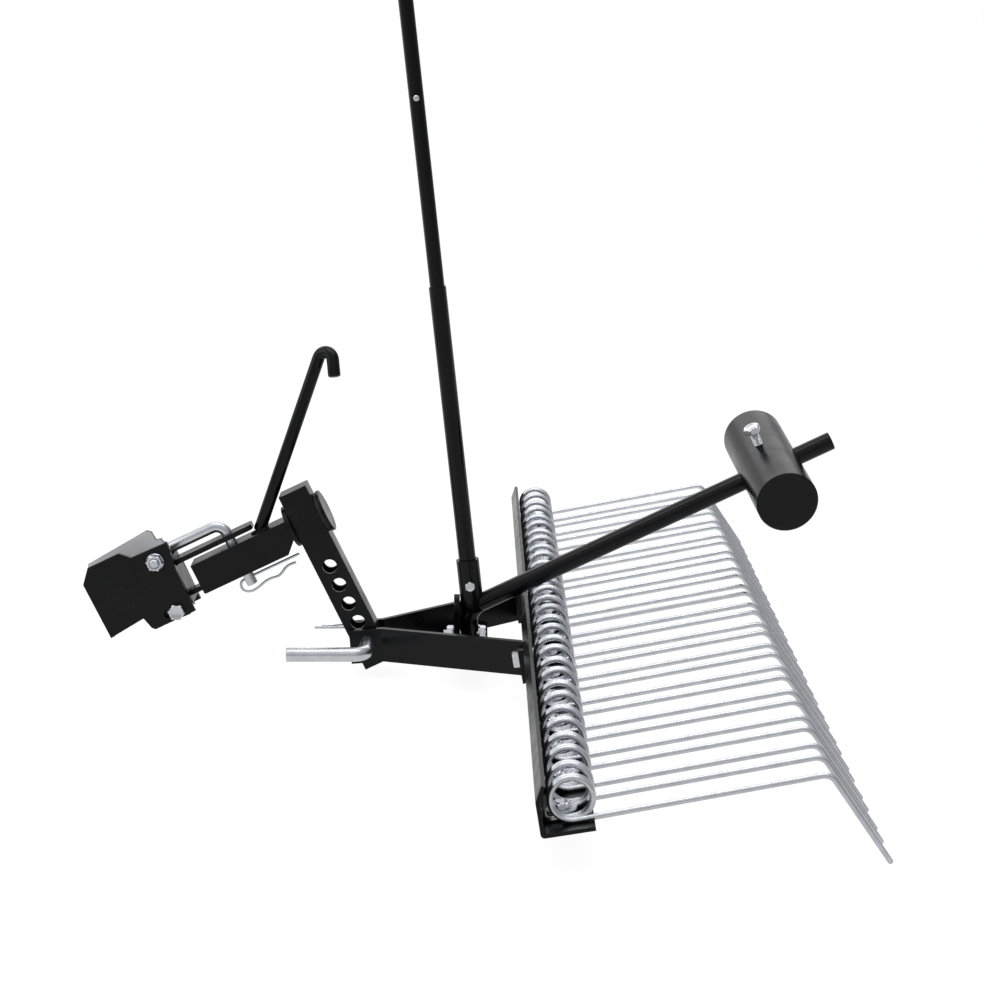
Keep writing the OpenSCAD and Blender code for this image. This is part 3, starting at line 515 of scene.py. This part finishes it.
def black_coat(name, gloss, dust, scuff, ripple=900.0, painted_reflection=False):
    """Black powder coat: near-black colour with faint pooling, dust on top, thin scuffs and ripples.
    With painted_reflection set, the far wall's inner side, which faces the near side, gets a painted
    reflection: a pale grey colour in place of the black, standing in for the light the glossy coat
    reflects there at a grazing angle."""
    m, tree, shader, place, _ = blank(name)
    peel = use(tree, ORANGE_PEEL, place, Ripple=ripple, Wave=55.0)
    marks = use(tree, SCUFFS, place, Amount=scuff)["Mask"]
    lay = use(tree, DUST, place, Amount=dust)["Mask"]
    base = tint(tree, spread(tree, peel["Mottle"], 0.35, 0.7, 0, 1), COAT, COAT_POOLED)
    base = tint(tree, marks, base, COAT_SCUFF)
    base = tint(tree, lay, base, COAT_DUST)
    rough = spread(tree, peel["Mottle"], 0.3, 0.75, gloss - 0.05, gloss + 0.08)
    rough = math_node(tree, "MULTIPLY_ADD", lay, 0.35, rough, clamp=True)
    # Painted reflection: the far wall's inner side, facing the near side, is coloured pale grey where
    # the black coat would reflect light at a grazing angle
    if painted_reflection:
        facing, at = (tree.nodes.new("ShaderNodeSeparateXYZ") for _ in range(2))
        normal = tree.nodes.new("ShaderNodeNewGeometry").outputs["Normal"]
        tree.links.new(normal, facing.inputs["Vector"])
        tree.links.new(place, at.inputs["Vector"])
        inside = math_node(tree, "MULTIPLY", spread(tree, facing.outputs["Y"], -0.97, -0.9, 1.0, 0.0),
                           spread(tree, at.outputs["Y"], 0.0, 0.005, 0.0, 1.0))
        # The pale grey of the painted reflection, mottled like the coat
        steel = tint(tree, spread(tree, peel["Mottle"], 0.3, 0.7, 0, 1), PAINTED_REFLECTION_GREY, PAINTED_REFLECTION_PALE)
        base = tint(tree, inside, base, steel)
        rough = math_node(tree, "MULTIPLY_ADD", inside, 0.25, rough, clamp=True)
    tree.links.new(base, shader.inputs["Base Color"])
    rough = math_node(tree, "MULTIPLY_ADD", marks, 0.25, rough, clamp=True)
    tree.links.new(rough, shader.inputs["Roughness"])
    shader.inputs["Specular IOR Level"].default_value = 0.22
    bumped(tree, shader, peel["Height"], 0.22, 0.00012)
    return m


def zinc_plate(name, gloss, drawn=False):
    """Bright zinc plate: a cool grey metal clouded by faint blue and straw tints, with fine grain.
    On drawn wire the grain runs along the piece."""
    cool, clouded, straw, mark = (tuple(ZINC_TONE * k for k in colour) for colour in (
        ZINC_COOL, ZINC_CLOUD, ZINC_STRAW, ZINC_MARK))
    m, tree, shader, place, wrap = blank(name)
    cloud = noise(tree, place, 120.0, 5.0, 0.6)
    patches = noise(tree, place, 46.0, 3.0, 0.5)
    base = tint(tree, spread(tree, cloud, 0.35, 0.68, 0, 1), cool, clouded)
    base = tint(tree, spread(tree, patches, 0.5, 0.72, 0, 0.3), base, straw)
    marks = use(tree, SCUFFS, place, Amount=0.5)["Mask"]
    base = tint(tree, marks, base, mark)
    tree.links.new(base, shader.inputs["Base Color"])
    shader.inputs["Metallic"].default_value = 1.0
    rough = spread(tree, cloud, 0.3, 0.7, gloss - 0.05, gloss + 0.09)
    if drawn:
        lines = use(tree, DRAWN, wrap, Fineness=1.0)
        rough = math_node(tree, "MULTIPLY_ADD", lines["Bands"], 0.12, rough, clamp=True)
        bumped(tree, shader, lines["Lines"], 0.10, 0.00002)
    else:
        grain = noise(tree, place, 2600.0, 2.0, 0.6)
        bumped(tree, shader, grain, 0.18, 0.00006)
    tree.links.new(rough, shader.inputs["Roughness"])
    return m


def moulded_rubber(name):
    """Moulded rubber: matt charcoal with a leathery grain, slightly paler where it is worn, and dust."""
    m, tree, shader, place, _ = blank(name)
    grain = tree.nodes.new("ShaderNodeTexVoronoi")
    grain.inputs["Scale"].default_value = 900.0
    tree.links.new(place, grain.inputs["Vector"])
    cloud = noise(tree, place, 90.0, 4.0, 0.6)
    lay = use(tree, DUST, place, Amount=0.25)["Mask"]
    base = tint(tree, spread(tree, cloud, 0.35, 0.7, 0, 1), MOULDED, MOULDED_WORN)
    tree.links.new(tint(tree, lay, base, MOULDED_DUST), shader.inputs["Base Color"])
    tree.links.new(spread(tree, cloud, 0.3, 0.7, 0.55, 0.75), shader.inputs["Roughness"])
    shader.inputs["Specular IOR Level"].default_value = 0.4
    bumped(tree, shader, grain.outputs["Distance"], 0.3, 0.0002)
    return m


PAINT = black_coat("black_powder_coat", gloss=0.27, dust=0.04, scuff=0.5)
# Black coat with a painted reflection, a pale grey, on the far wall's inner side
COAT_WITH_PAINTED_REFLECTION = black_coat("black_coat_painted_reflection_inside", gloss=0.27, dust=0.04, scuff=0.5, painted_reflection=True)
TUBE_PAINT = black_coat("black_tube_coat", gloss=0.15, dust=0.04, scuff=0.4, ripple=1100.0)
WEIGHT_PAINT = black_coat("black_weight_coat", gloss=0.24, dust=0.05, scuff=0.5, ripple=700.0)
BEAD_PAINT = black_coat("black_weld_coat", gloss=0.33, dust=0.06, scuff=0.2)
ZINC = zinc_plate("zinc_hardware", gloss=0.24)
PIN_ZINC = zinc_plate("zinc_pin", gloss=0.20, drawn=True)
WIRE = zinc_plate("zinc_spring_wire", gloss=0.20, drawn=True)
RUBBER = moulded_rubber("grip_rubber")

# Pressed and welded steel pieces, from the part's own solids with rolled edges
softened("tractor_plate", "tractor_mount", COAT_WITH_PAINTED_REFLECTION, 1.3, 3)
softened("hitch_bracket", "tilt_bracket", PAINT, 0.6, form=bracket_form)
softened("drawbar_tube", "drawbar", PAINT, 0.9, form=tube_form)
for node, body, width in (
        ("top_tongue", "tilt_bracket", 0.6), ("bottom_tongue", "tilt_bracket", 0.5),
        ("pivot_flange", "drawbar", 0.7), ("roll_bolt", "drawbar", 0.8),
        ("upright", "upright_post", 1.2), ("near_arm", "rake", 0.7), ("far_arm", "rake", 0.7),
        ("cross_member", "rake", 0.6), ("lever_lug", "rake", 0.6), ("tine_bar", "rake", 0.6),
        ("stop_bar", "rake", 0.6)):
    softened(node, body, PAINT, width)
softened("thrust_washer", "drawbar", RUBBER, 0.4)
softened("lever_socket", "rake", TUBE_PAINT, 0.5)
softened("counterweight", "weight", WEIGHT_PAINT, 0.8, 3)
softened("lever_lower", "rake", TUBE_PAINT, 0.25)
softened("lever_upper", "lever_top", TUBE_PAINT, 0.25)

# Spring tines: the same wire as in the part, with a round section and smooth curls
TINE_YS = (np.arange(15) - 7) * 66.0
WIRE_R, WIRE_ENDS = 2.2, (1.4, 1.8, 2.0)


def tine_line():
    """Middle line of one spring tine and its outward directions, in the level frame of the coils.
    Half of it runs from the tip of a prong through its bend, along the prong, round two curls whose
    height along the bar grows evenly with the turn, and round a corner to the bridge. The other half
    is its mirror image."""
    coil_r, gap, step, rise = 15, 39, 4.6, 10.5
    prong, tip, fall, bend_r, corner_r, bridge = 178.5, 78.2, 55.9, 10, 4, -19.2
    curl = 720 + rise - BAR_SLOPE

    def along(t):
        t = np.radians(np.asarray(t, float))
        return np.stack([np.cos(t), 0 * t, np.sin(t)], -1)

    def outward(t):
        t = np.radians(np.asarray(t, float))
        return np.stack([np.sin(t), 0 * t, -np.cos(t)], -1)

    y0 = np.array([0, -gap / 2, 0])
    knee = np.array([prong, 0, -coil_r + prong * math.tan(deg(rise))])
    cut = bend_r * math.tan(deg(fall + rise) / 2)
    middle = knee - along(rise) * cut + outward(rise) * bend_r
    end = knee + along(-fall) * tip
    ends = end + along(-fall) * np.array([0, -0.5, -1.2])[:, None] + y0
    t = np.linspace(-fall, rise, 12)
    bend = middle - outward(t) * bend_r + y0
    t2 = rise - np.linspace(0, curl, 65)
    coil = outward(t2) * coil_r
    coil[:, 1] = -gap / 2 + step * (rise - t2) / 360
    inner = -gap / 2 + step * curl / 360
    t3 = np.linspace(0, 90, 8)
    r3 = np.radians(t3)[:, None]
    corner = outward(BAR_SLOPE) * coil_r + along(BAR_SLOPE) * (bridge + corner_r - corner_r * np.sin(r3))
    corner = corner + Y * (inner + corner_r * (1 - np.cos(r3)))
    half = np.concatenate([ends, bend, coil, corner])
    out = np.concatenate([np.repeat(outward(-fall)[None], len(ends), 0), outward(t), outward(t2),
                          np.repeat(outward(BAR_SLOPE)[None], len(corner), 0)])
    flip = np.array([1, -1, 1])
    return np.concatenate([half, half[::-1] * flip]), np.concatenate([out, out[::-1] * flip])


wire, wire_out = tine_line()
wire_r = np.full(len(wire), WIRE_R)
wire_r[:3], wire_r[-3:] = WIRE_ENDS, WIRE_ENDS[::-1]
for k, y in enumerate(TINE_YS):
    tine = Parts()
    swept(tine, wire + y * Y, wire_out, wire_r, LEVEL, 14)
    tine.made("tine_wire_%02d" % (k + 1), "rake", "spring_wire", WIRE, ["tine_%02d" % (k + 1)], 50)

# Bolts, nuts and washers: standard sizes first. A bolt's places are measured from the point at.
M8_R, M8_PITCH, M8_FLATS, M8_HEAD, M8_NUT, M8_BORE = 4, 1.25, 13, 5.3, 6.5, 4.1
M5_R, M5_PITCH, M5_FLATS, M5_HEAD = 2.5, 0.8, 8, 4


def shank(parts, r, length, start, axis, where, sides=24):
    """The plain length of a bolt or rivet."""
    turned(parts, [[r, 0], [r, length]], start, axis, where, sides)


def m8_thread(parts, length, start, axis, where, sides=28):
    """The threaded end of an M8 bolt."""
    threaded(parts, M8_R, M8_PITCH, length, start, axis, where, sides)


def m8_head(parts, start, axis, where):
    """The head of an M8 bolt."""
    hex_piece(parts, M8_FLATS, M8_HEAD, start, axis, where)


def m8_nut(parts, start, axis, where, height=M8_NUT):
    """An M8 nut."""
    hex_piece(parts, M8_FLATS, height, start, axis, where, True, M8_R)


PIVOT_BOLT = np.array([67.4, 0, 18.8])
SLOT_R, SLOT_TURN = 47.9, -94
SLOT_BOLT = PIVOT_BOLT + SLOT_R * (math.cos(deg(SLOT_TURN)) * X + math.sin(deg(SLOT_TURN)) * Z)
EAR_FACE = 23.4
bolts, nuts, rings = Parts(), Parts(), Parts()
for at, way in ((PIVOT_BOLT, -Y), (SLOT_BOLT, Y)):
    shank(bolts, M8_R, 52, at - way * 28, way, HITCH)
    m8_thread(bolts, 13, at + way * 20.1, way, HITCH)
    m8_head(bolts, at - way * EAR_FACE, -way, HITCH)
    m8_nut(nuts, at + way * 24.6, way, HITCH)
    washer(rings, 7.5, M8_BORE, 1.1, at + way * EAR_FACE, way, HITCH)
bolts.made("bracket_bolt_pair", "tractor_mount", "zinc_steel", ZINC, ["bracket_bolts"])
nuts.made("bracket_nut_pair", "tractor_mount", "zinc_steel", ZINC, ["bracket_nuts"])
rings.made("bracket_washer_pair", "tractor_mount", "zinc_steel", ZINC, ["bracket_washers"])

bolts, nuts = Parts(), Parts()
for y in (-99.0, 99.0):
    at = np.array([-24.7, y, -4])
    shank(bolts, M8_R, 8, at - X * 5.1, X, BAR)
    m8_thread(bolts, 9, at + X * 2, X, BAR)
    m8_head(bolts, at - X * 5.05, -X, BAR)
    m8_nut(nuts, at + X * 3.05, X, BAR)
bolts.made("arm_bolt_pair", "rake", "zinc_steel", ZINC, ["arm_bolts"])
nuts.made("arm_nut_pair", "rake", "zinc_steel", ZINC, ["arm_nuts"])

bolts, nuts, rings = Parts(), Parts(), Parts()
for y in TINE_YS:
    at = np.array([-8, y, 0])
    shank(bolts, M8_R, 7, at - Z * 20.1, Z, BAR, 20)
    m8_thread(bolts, 6.9, at - Z * 13.2, Z, BAR, 20)
    m8_head(bolts, at - Z * 20.1, -Z, BAR)
    m8_nut(nuts, at - Z * 10.9, Z, BAR, height=4.0)
    washer(rings, 11, M8_BORE, 2, at - Z * 12.95, Z, BAR)
bolts.made("tine_bolt_row", "rake", "zinc_steel", ZINC, ["tine_bolts"])
nuts.made("tine_nut_row", "rake", "zinc_steel", ZINC, ["tine_nuts"])
rings.made("tine_washer_row", "rake", "zinc_steel", ZINC, ["tine_washers"])

bolts, nuts = Parts(), Parts()
at = np.array([-61.3, 0, -14])
shank(bolts, M8_R, 22, at, -X, LEVEL)
m8_thread(bolts, 11.8, at - X * 20.4, -X, LEVEL)
m8_head(bolts, at, X, LEVEL)
washer(bolts, 8, 4.05, 1.6, at - X * 1.6, X, LEVEL)
m8_nut(nuts, at - X * 22.85, -X, LEVEL)
bolts.made("rod_clamp_screw", "rake", "zinc_steel", ZINC, ["rod_clamp_bolt"])
nuts.made("rod_clamp_hexnut", "rake", "zinc_steel", ZINC, ["rod_clamp_nut"])

bolts = Parts()
at = 22.0 * Z
shank(bolts, M5_R, 20.5, at - Y * 10.6, Y, LEVER, 20)
threaded(bolts, M5_R, M5_PITCH, 6.6, at + Y * 9.4, Y, LEVER, 20)
hex_piece(bolts, M5_FLATS, M5_HEAD, at - Y * 10.1, -Y, LEVER)
hex_piece(bolts, M5_FLATS, M5_HEAD, at + Y * 10.1, Y, LEVER, True, M5_R)
bolts.made("socket_screw", "rake", "zinc_steel", ZINC, ["socket_bolt"])

RIVET_DOME = [[2.5, 0], [2.5, 0.5], [2.1, 1.0], [1.2, 1.3], [0.2, 1.35]]
bolts = Parts()
at = 447.0 * Z
shank(bolts, 1.5, 13.2, at - Y * 6.6, Y, LEVER, 16)
for way in (-Y, Y):
    turned(bolts, RIVET_DOME, at + way * 6.46, way, LEVER, 24)
bolts.made("lever_rivet", "lever_top", "zinc_steel", ZINC, ["stop_rivet"])

bolts = Parts()
m8_thread(bolts, 17.8, 26.2 * Z, -Z, WEIGHT)
m8_thread(bolts, 13.3, 26.0 * Z, Z, WEIGHT)
m8_head(bolts, 39.0 * Z, Z, WEIGHT)
bolts.made("weight_screw", "weight_clamp", "zinc_steel", ZINC, ["weight_bolt"])

# Pins, clips, hook and rod
HITCH_PIN_P, HITCH_PIN_R, HITCH_PIN_BEND = 130.5, 5, 10
HEIGHT_PIN_R, HEIGHT_PIN_BEND = 6.25, 11
CLIP_R = 1.25
pin = Parts()
corners = [[HITCH_PIN_P, 0, -40], [HITCH_PIN_P, 0, 21], [80, 0, 21]]
round_bar(pin, bent_line(corners, [HITCH_PIN_BEND], 14), Y, HITCH_PIN_R, HITCH, 1.4)
pin.made("hitch_pin_bar", "hitch_pin_body", "zinc_steel", PIN_ZINC, ["hitch_pin"])
pin = Parts()
corners = [[0, 38, 0], [0, -57, 0], [-68, -57, 0]]
round_bar(pin, bent_line(corners, [HEIGHT_PIN_BEND], 14), Z, HEIGHT_PIN_R, PIVOT, 1.0)
pin.made("height_pin_bar", "height_pin_body", "zinc_steel", PIN_ZINC, ["height_pin"])


def clip_line():
    """Middle line of a spring clip in its plane: a straight leg, the round head and the wavy leg,
    smoothed by corner cutting: twice, each piece is cut at a quarter and three quarters."""
    c = np.array([[49, 0], [-6, 0], [-9.4, -1.8], [-10.8, -6], [-9, -10], [-4, -12.4], [2.5, -12],
                  [12, -9.2], [18, -9.2], [25, -10.6], [34, -5], [43, -5.6]], float)
    c = np.insert(c, 1, [[30, 0], [4, 0]], 0)
    for _ in range(2):
        cut = np.stack([c[:-1] * 0.75 + c[1:] * 0.25, c[:-1] * 0.25 + c[1:] * 0.75], 1).reshape(-1, 2)
        c = np.concatenate([c[:1], cut, c[-1:]])
    return c


flat = clip_line()
clip = Parts()
line = np.stack([flat[:, 0] + HITCH_PIN_P, 0 * flat[:, 0], flat[:, 1] - 33], -1)
round_bar(clip, line, Y, CLIP_R, HITCH, 0.4, 12)
clip.made("hitch_clip_wire", "hitch_pin_body", "zinc_steel", PIN_ZINC, ["hitch_pin_clip"])
clip = Parts()
line = np.stack([-flat[:, 0], 32 - flat[:, 1], 0 * flat[:, 0]], -1)
round_bar(clip, line, Z, CLIP_R, PIVOT, 0.4, 12)
clip.made("height_clip_wire", "height_pin_body", "zinc_steel", PIN_ZINC, ["height_pin_clip"])

HOOK_FOOT = 156.5 * X
HOOK_R, HOOK_STEM, HOOK_BEND, HOOK_TAIL = 5.5, 163, 8, 15
HOOK_TURN, HOOK_LEAN = 150, 35


def hook_line():
    """Middle line of the lock hook: straight up at 45 degrees, then round an arc that leans towards
    the near side, and a short straight tail. Returns the line and the axis of the arc."""
    d = (X + Z) * math.sqrt(0.5)
    b = (X - Z) * math.sqrt(0.5) * math.cos(deg(HOOK_LEAN)) - Y * math.sin(deg(HOOK_LEAN))
    start = HOOK_FOOT + d * HOOK_STEM
    t = np.linspace(0, deg(HOOK_TURN), 18)[:, None]
    arc = start + HOOK_BEND * (np.sin(t) * d + (1 - np.cos(t)) * b)
    tail = arc[-1] + HOOK_TAIL * (math.cos(deg(HOOK_TURN)) * d + math.sin(deg(HOOK_TURN)) * b)
    return np.concatenate([[HOOK_FOOT + d * 0.7], arc, [tail]]), np.cross(d, b)


line, arc_axis = hook_line()
hook = Parts()
round_bar(hook, line, arc_axis, HOOK_R, HITCH, 2.0, 28)
hook.made("lock_hook_bar", "drawbar", "black_steel", TUBE_PAINT, ["lock_hook"])

ROD_R, ROD_LENGTH, ROD_BEND = 8, 350, 18
rod = Parts()
foot = np.array([ROD_KNEE[0], 0, -26.0])
top = placed([ROD_LENGTH * X], ROD)[0] * 1000 - COIL
round_bar(rod, bent_line([foot, ROD_KNEE, top], [ROD_BEND], 16), Y, ROD_R, LEVEL, 1.2, 32)
rod.made("weight_rod_bar", "rake", "black_steel", TUBE_PAINT, ["weight_rod"])

# Rubber grip: a collar, a ribbed length and a rounded end, turned about the lever
RIB_CORE, RIB_DEPTH, RIB_PITCH, RIBS_FROM, RIBS_LENGTH = 9.4, 0.9, 8.0, 581, 100
COLLAR = [[6.42, 575], [10.6, 575], [11.4, 575.8], [11.4, 578.2], [10.6, 579], [9.6, 579.6]]
GRIP_END = [[9.4, 682], [9.3, 688], [8.9, 690.6], [7.6, 692.2], [5.0, 692.8], [0.3, 693]]
grip = Parts()
z = np.linspace(0, RIBS_LENGTH, 161)
ribs = RIB_CORE + RIB_DEPTH * np.abs(np.sin(np.pi * (z + 3) / RIB_PITCH)) ** 0.6
profile = COLLAR + np.stack([ribs, z + RIBS_FROM], -1).tolist() + GRIP_END
turned(grip, profile, np.zeros(3), Z, LEVER, 40)
grip.made("lever_grip_sleeve", "lever_top", "black_rubber", RUBBER, ["lever_grip"], 60)

# Weld beads where the real frame is welded: round the hook's foot and along the end of the tube,
# then on the web of the bracket, at both tongues and in both corners
TUBE_END, TUBE_SIDE, WEB_P = 182.8, 13.9, 80.2
welds = Parts()
a = np.linspace(0, 2 * np.pi, 40)
ring = np.stack([HOOK_FOOT[0] + 7.4 * np.cos(a) + 1.2, 5.4 * np.sin(a), 0 * a + 0.7], -1)
bead(welds, ring, Z, 1.3, HITCH)
for y in (-TUBE_SIDE, TUBE_SIDE):
    bead(welds, [[TUBE_END, y, -2], [TUBE_END, y, -16]], Y, 1.2, HITCH)
bead(welds, [[TUBE_END, -11, 0.4], [TUBE_END, 11, 0.4]], Z, 1.2, HITCH)
welds.made("drawbar_welds", "drawbar", "black_steel", BEAD_PAINT)
welds = Parts()
for q, half in ((6, 9.5), (10.5, 9.5), (-20.4, 7)):
    bead(welds, [[WEB_P, -half, q], [WEB_P, half, q]], Z, 1.0, HITCH)
for y in (-18.8, 18.8):
    bead(welds, [[75.8, y, -26], [75.8, y, 10]], X, 1.1, HITCH)
welds.made("bracket_welds", "tilt_bracket", "black_steel", BEAD_PAINT)

# Floor and light, in metres
FLOOR_HALF, FLOOR_DROP = 9, 0.0008
MIRROR_SPAN, MIRROR_NEAR, MIRROR_FAR = 0.9, 0.54, 1.0
SEEN_GLOW, GLOW_SHARE = 1.12, 0.82


def pale_floor():
    """Floor that takes soft shadow but looks almost white to the camera. In reflections it is a
    pale backdrop behind the part that fades to a dim floor in front of it."""
    m = bpy.data.materials.new("pale_floor")
    m.use_nodes = True
    tree = m.node_tree
    shader, out = tree.nodes["Principled BSDF"], tree.nodes["Material Output"]
    shader.inputs["Base Color"].default_value = (0.86, 0.86, 0.86, 1)
    shader.inputs["Roughness"].default_value = 0.8
    shader.inputs["Specular IOR Level"].default_value = 0.1
    glow, mix, ray, where, split = (tree.nodes.new("ShaderNode" + k) for k in (
        "Emission", "MixShader", "LightPath", "TexCoord", "SeparateXYZ"))
    tree.links.new(where.outputs["Object"], split.inputs["Vector"])
    mirrored = spread(tree, split.outputs["Y"], -MIRROR_SPAN, MIRROR_SPAN, MIRROR_NEAR, MIRROR_FAR)
    bright = spread(tree, ray.outputs["Is Camera Ray"], 0.0, 1.0, mirrored, SEEN_GLOW)
    tree.links.new(bright, glow.inputs["Strength"])
    seen = math_node(tree, "MAXIMUM", ray.outputs["Is Camera Ray"], ray.outputs["Is Glossy Ray"])
    tree.links.new(math_node(tree, "MULTIPLY", seen, GLOW_SHARE), mix.inputs["Fac"])
    tree.links.new(shader.outputs["BSDF"], mix.inputs[1])
    tree.links.new(glow.outputs["Emission"], mix.inputs[2])
    tree.links.new(mix.outputs["Shader"], out.inputs["Surface"])
    return m


low, far = cad_box[0][2] - FLOOR_DROP, FLOOR_HALF
mesh = bpy.data.meshes.new("pale_floor")
mesh.from_pydata([(-far, -far, low), (far, -far, low), (far, far, low), (-far, far, low)], [],
                 [(0, 1, 2, 3)])
mesh.materials.append(pale_floor())
floor = bpy.data.objects.new("pale_floor", mesh)
bpy.context.scene.collection.objects.link(floor)


def studio_sky():
    """World that is white to the camera. To the part it is pale behind and above, dimmer towards the
    right and dim elsewhere."""
    world = bpy.data.worlds.new("studio")
    world.use_nodes = True
    tree = world.node_tree
    coord = tree.nodes.new("ShaderNodeTexCoord")
    split = tree.nodes.new("ShaderNodeSeparateXYZ")
    tree.links.new(coord.outputs["Generated"], split.inputs["Vector"])
    behind = spread(tree, split.outputs["Y"], -0.35, 0.35, 0.0, 1.0)
    above = spread(tree, split.outputs["Z"], 0.0, 0.7, 0.0, 1.0)
    right = spread(tree, split.outputs["X"], 0.15, 0.75, 1.0, 0.2)
    pale = math_node(tree, "MULTIPLY", math_node(tree, "MAXIMUM", behind, above), right)
    sky = tint(tree, pale, (0.30, 0.30, 0.31), (0.78, 0.78, 0.80))
    ray = tree.nodes.new("ShaderNodeLightPath")
    colour = tint(tree, ray.outputs["Is Camera Ray"], sky, (1.0, 1.0, 1.0))
    tree.links.new(colour, tree.nodes["Background"].inputs["Color"])
    return world


bpy.context.scene.world = studio_sky()

LAMP_AIM = (0.35, 0, 0.1)


def softbox(name, place, size, watts):
    """A rectangular lamp at a place, aimed at the part."""
    lamp = bpy.data.lights.new(name, "AREA")
    lamp.shape = "RECTANGLE"
    lamp.size, lamp.size_y = size
    lamp.energy = watts
    obj = bpy.data.objects.new(name, lamp)
    bpy.context.scene.collection.objects.link(obj)
    obj.location = place
    obj.rotation_euler = (Vector(LAMP_AIM) - Vector(place)).to_track_quat("-Z", "Y").to_euler()


softbox("top_box", (0.3, 0.2, 2.2), (2.2, 1.4), 5.5)
softbox("strip_box", (0.3, -0.45, 2.3), (2.6, 0.2), 9)
softbox("left_box", (-1.9, -0.5, 1.1), (0.8, 1.6), 6)
softbox("back_box", (0.2, 2.0, 1.4), (2.6, 0.9), 8)

# Camera: its place in metres and its turn in degrees, with the focal length in the photograph's pixels
PHOTO_SIDE, FOCAL_PIXELS = 984, 2410.87
CAMERA_AT, CAMERA_DOWN, CAMERA_TURN = (0.32754, -2.06077, 0.54262), 12.055, -0.498
camera = bpy.data.cameras.new("camera")
camera.sensor_width = 36
camera.lens = FOCAL_PIXELS * camera.sensor_width / PHOTO_SIDE
camera.clip_end = 50
eye = bpy.data.objects.new("camera", camera)
bpy.context.scene.collection.objects.link(eye)
eye.location = CAMERA_AT
eye.rotation_euler = (deg(90 - CAMERA_DOWN), 0, deg(CAMERA_TURN))
bpy.context.scene.camera = eye
bpy.context.scene.view_settings.view_transform = "Standard"

bpy.context.view_layer.update()
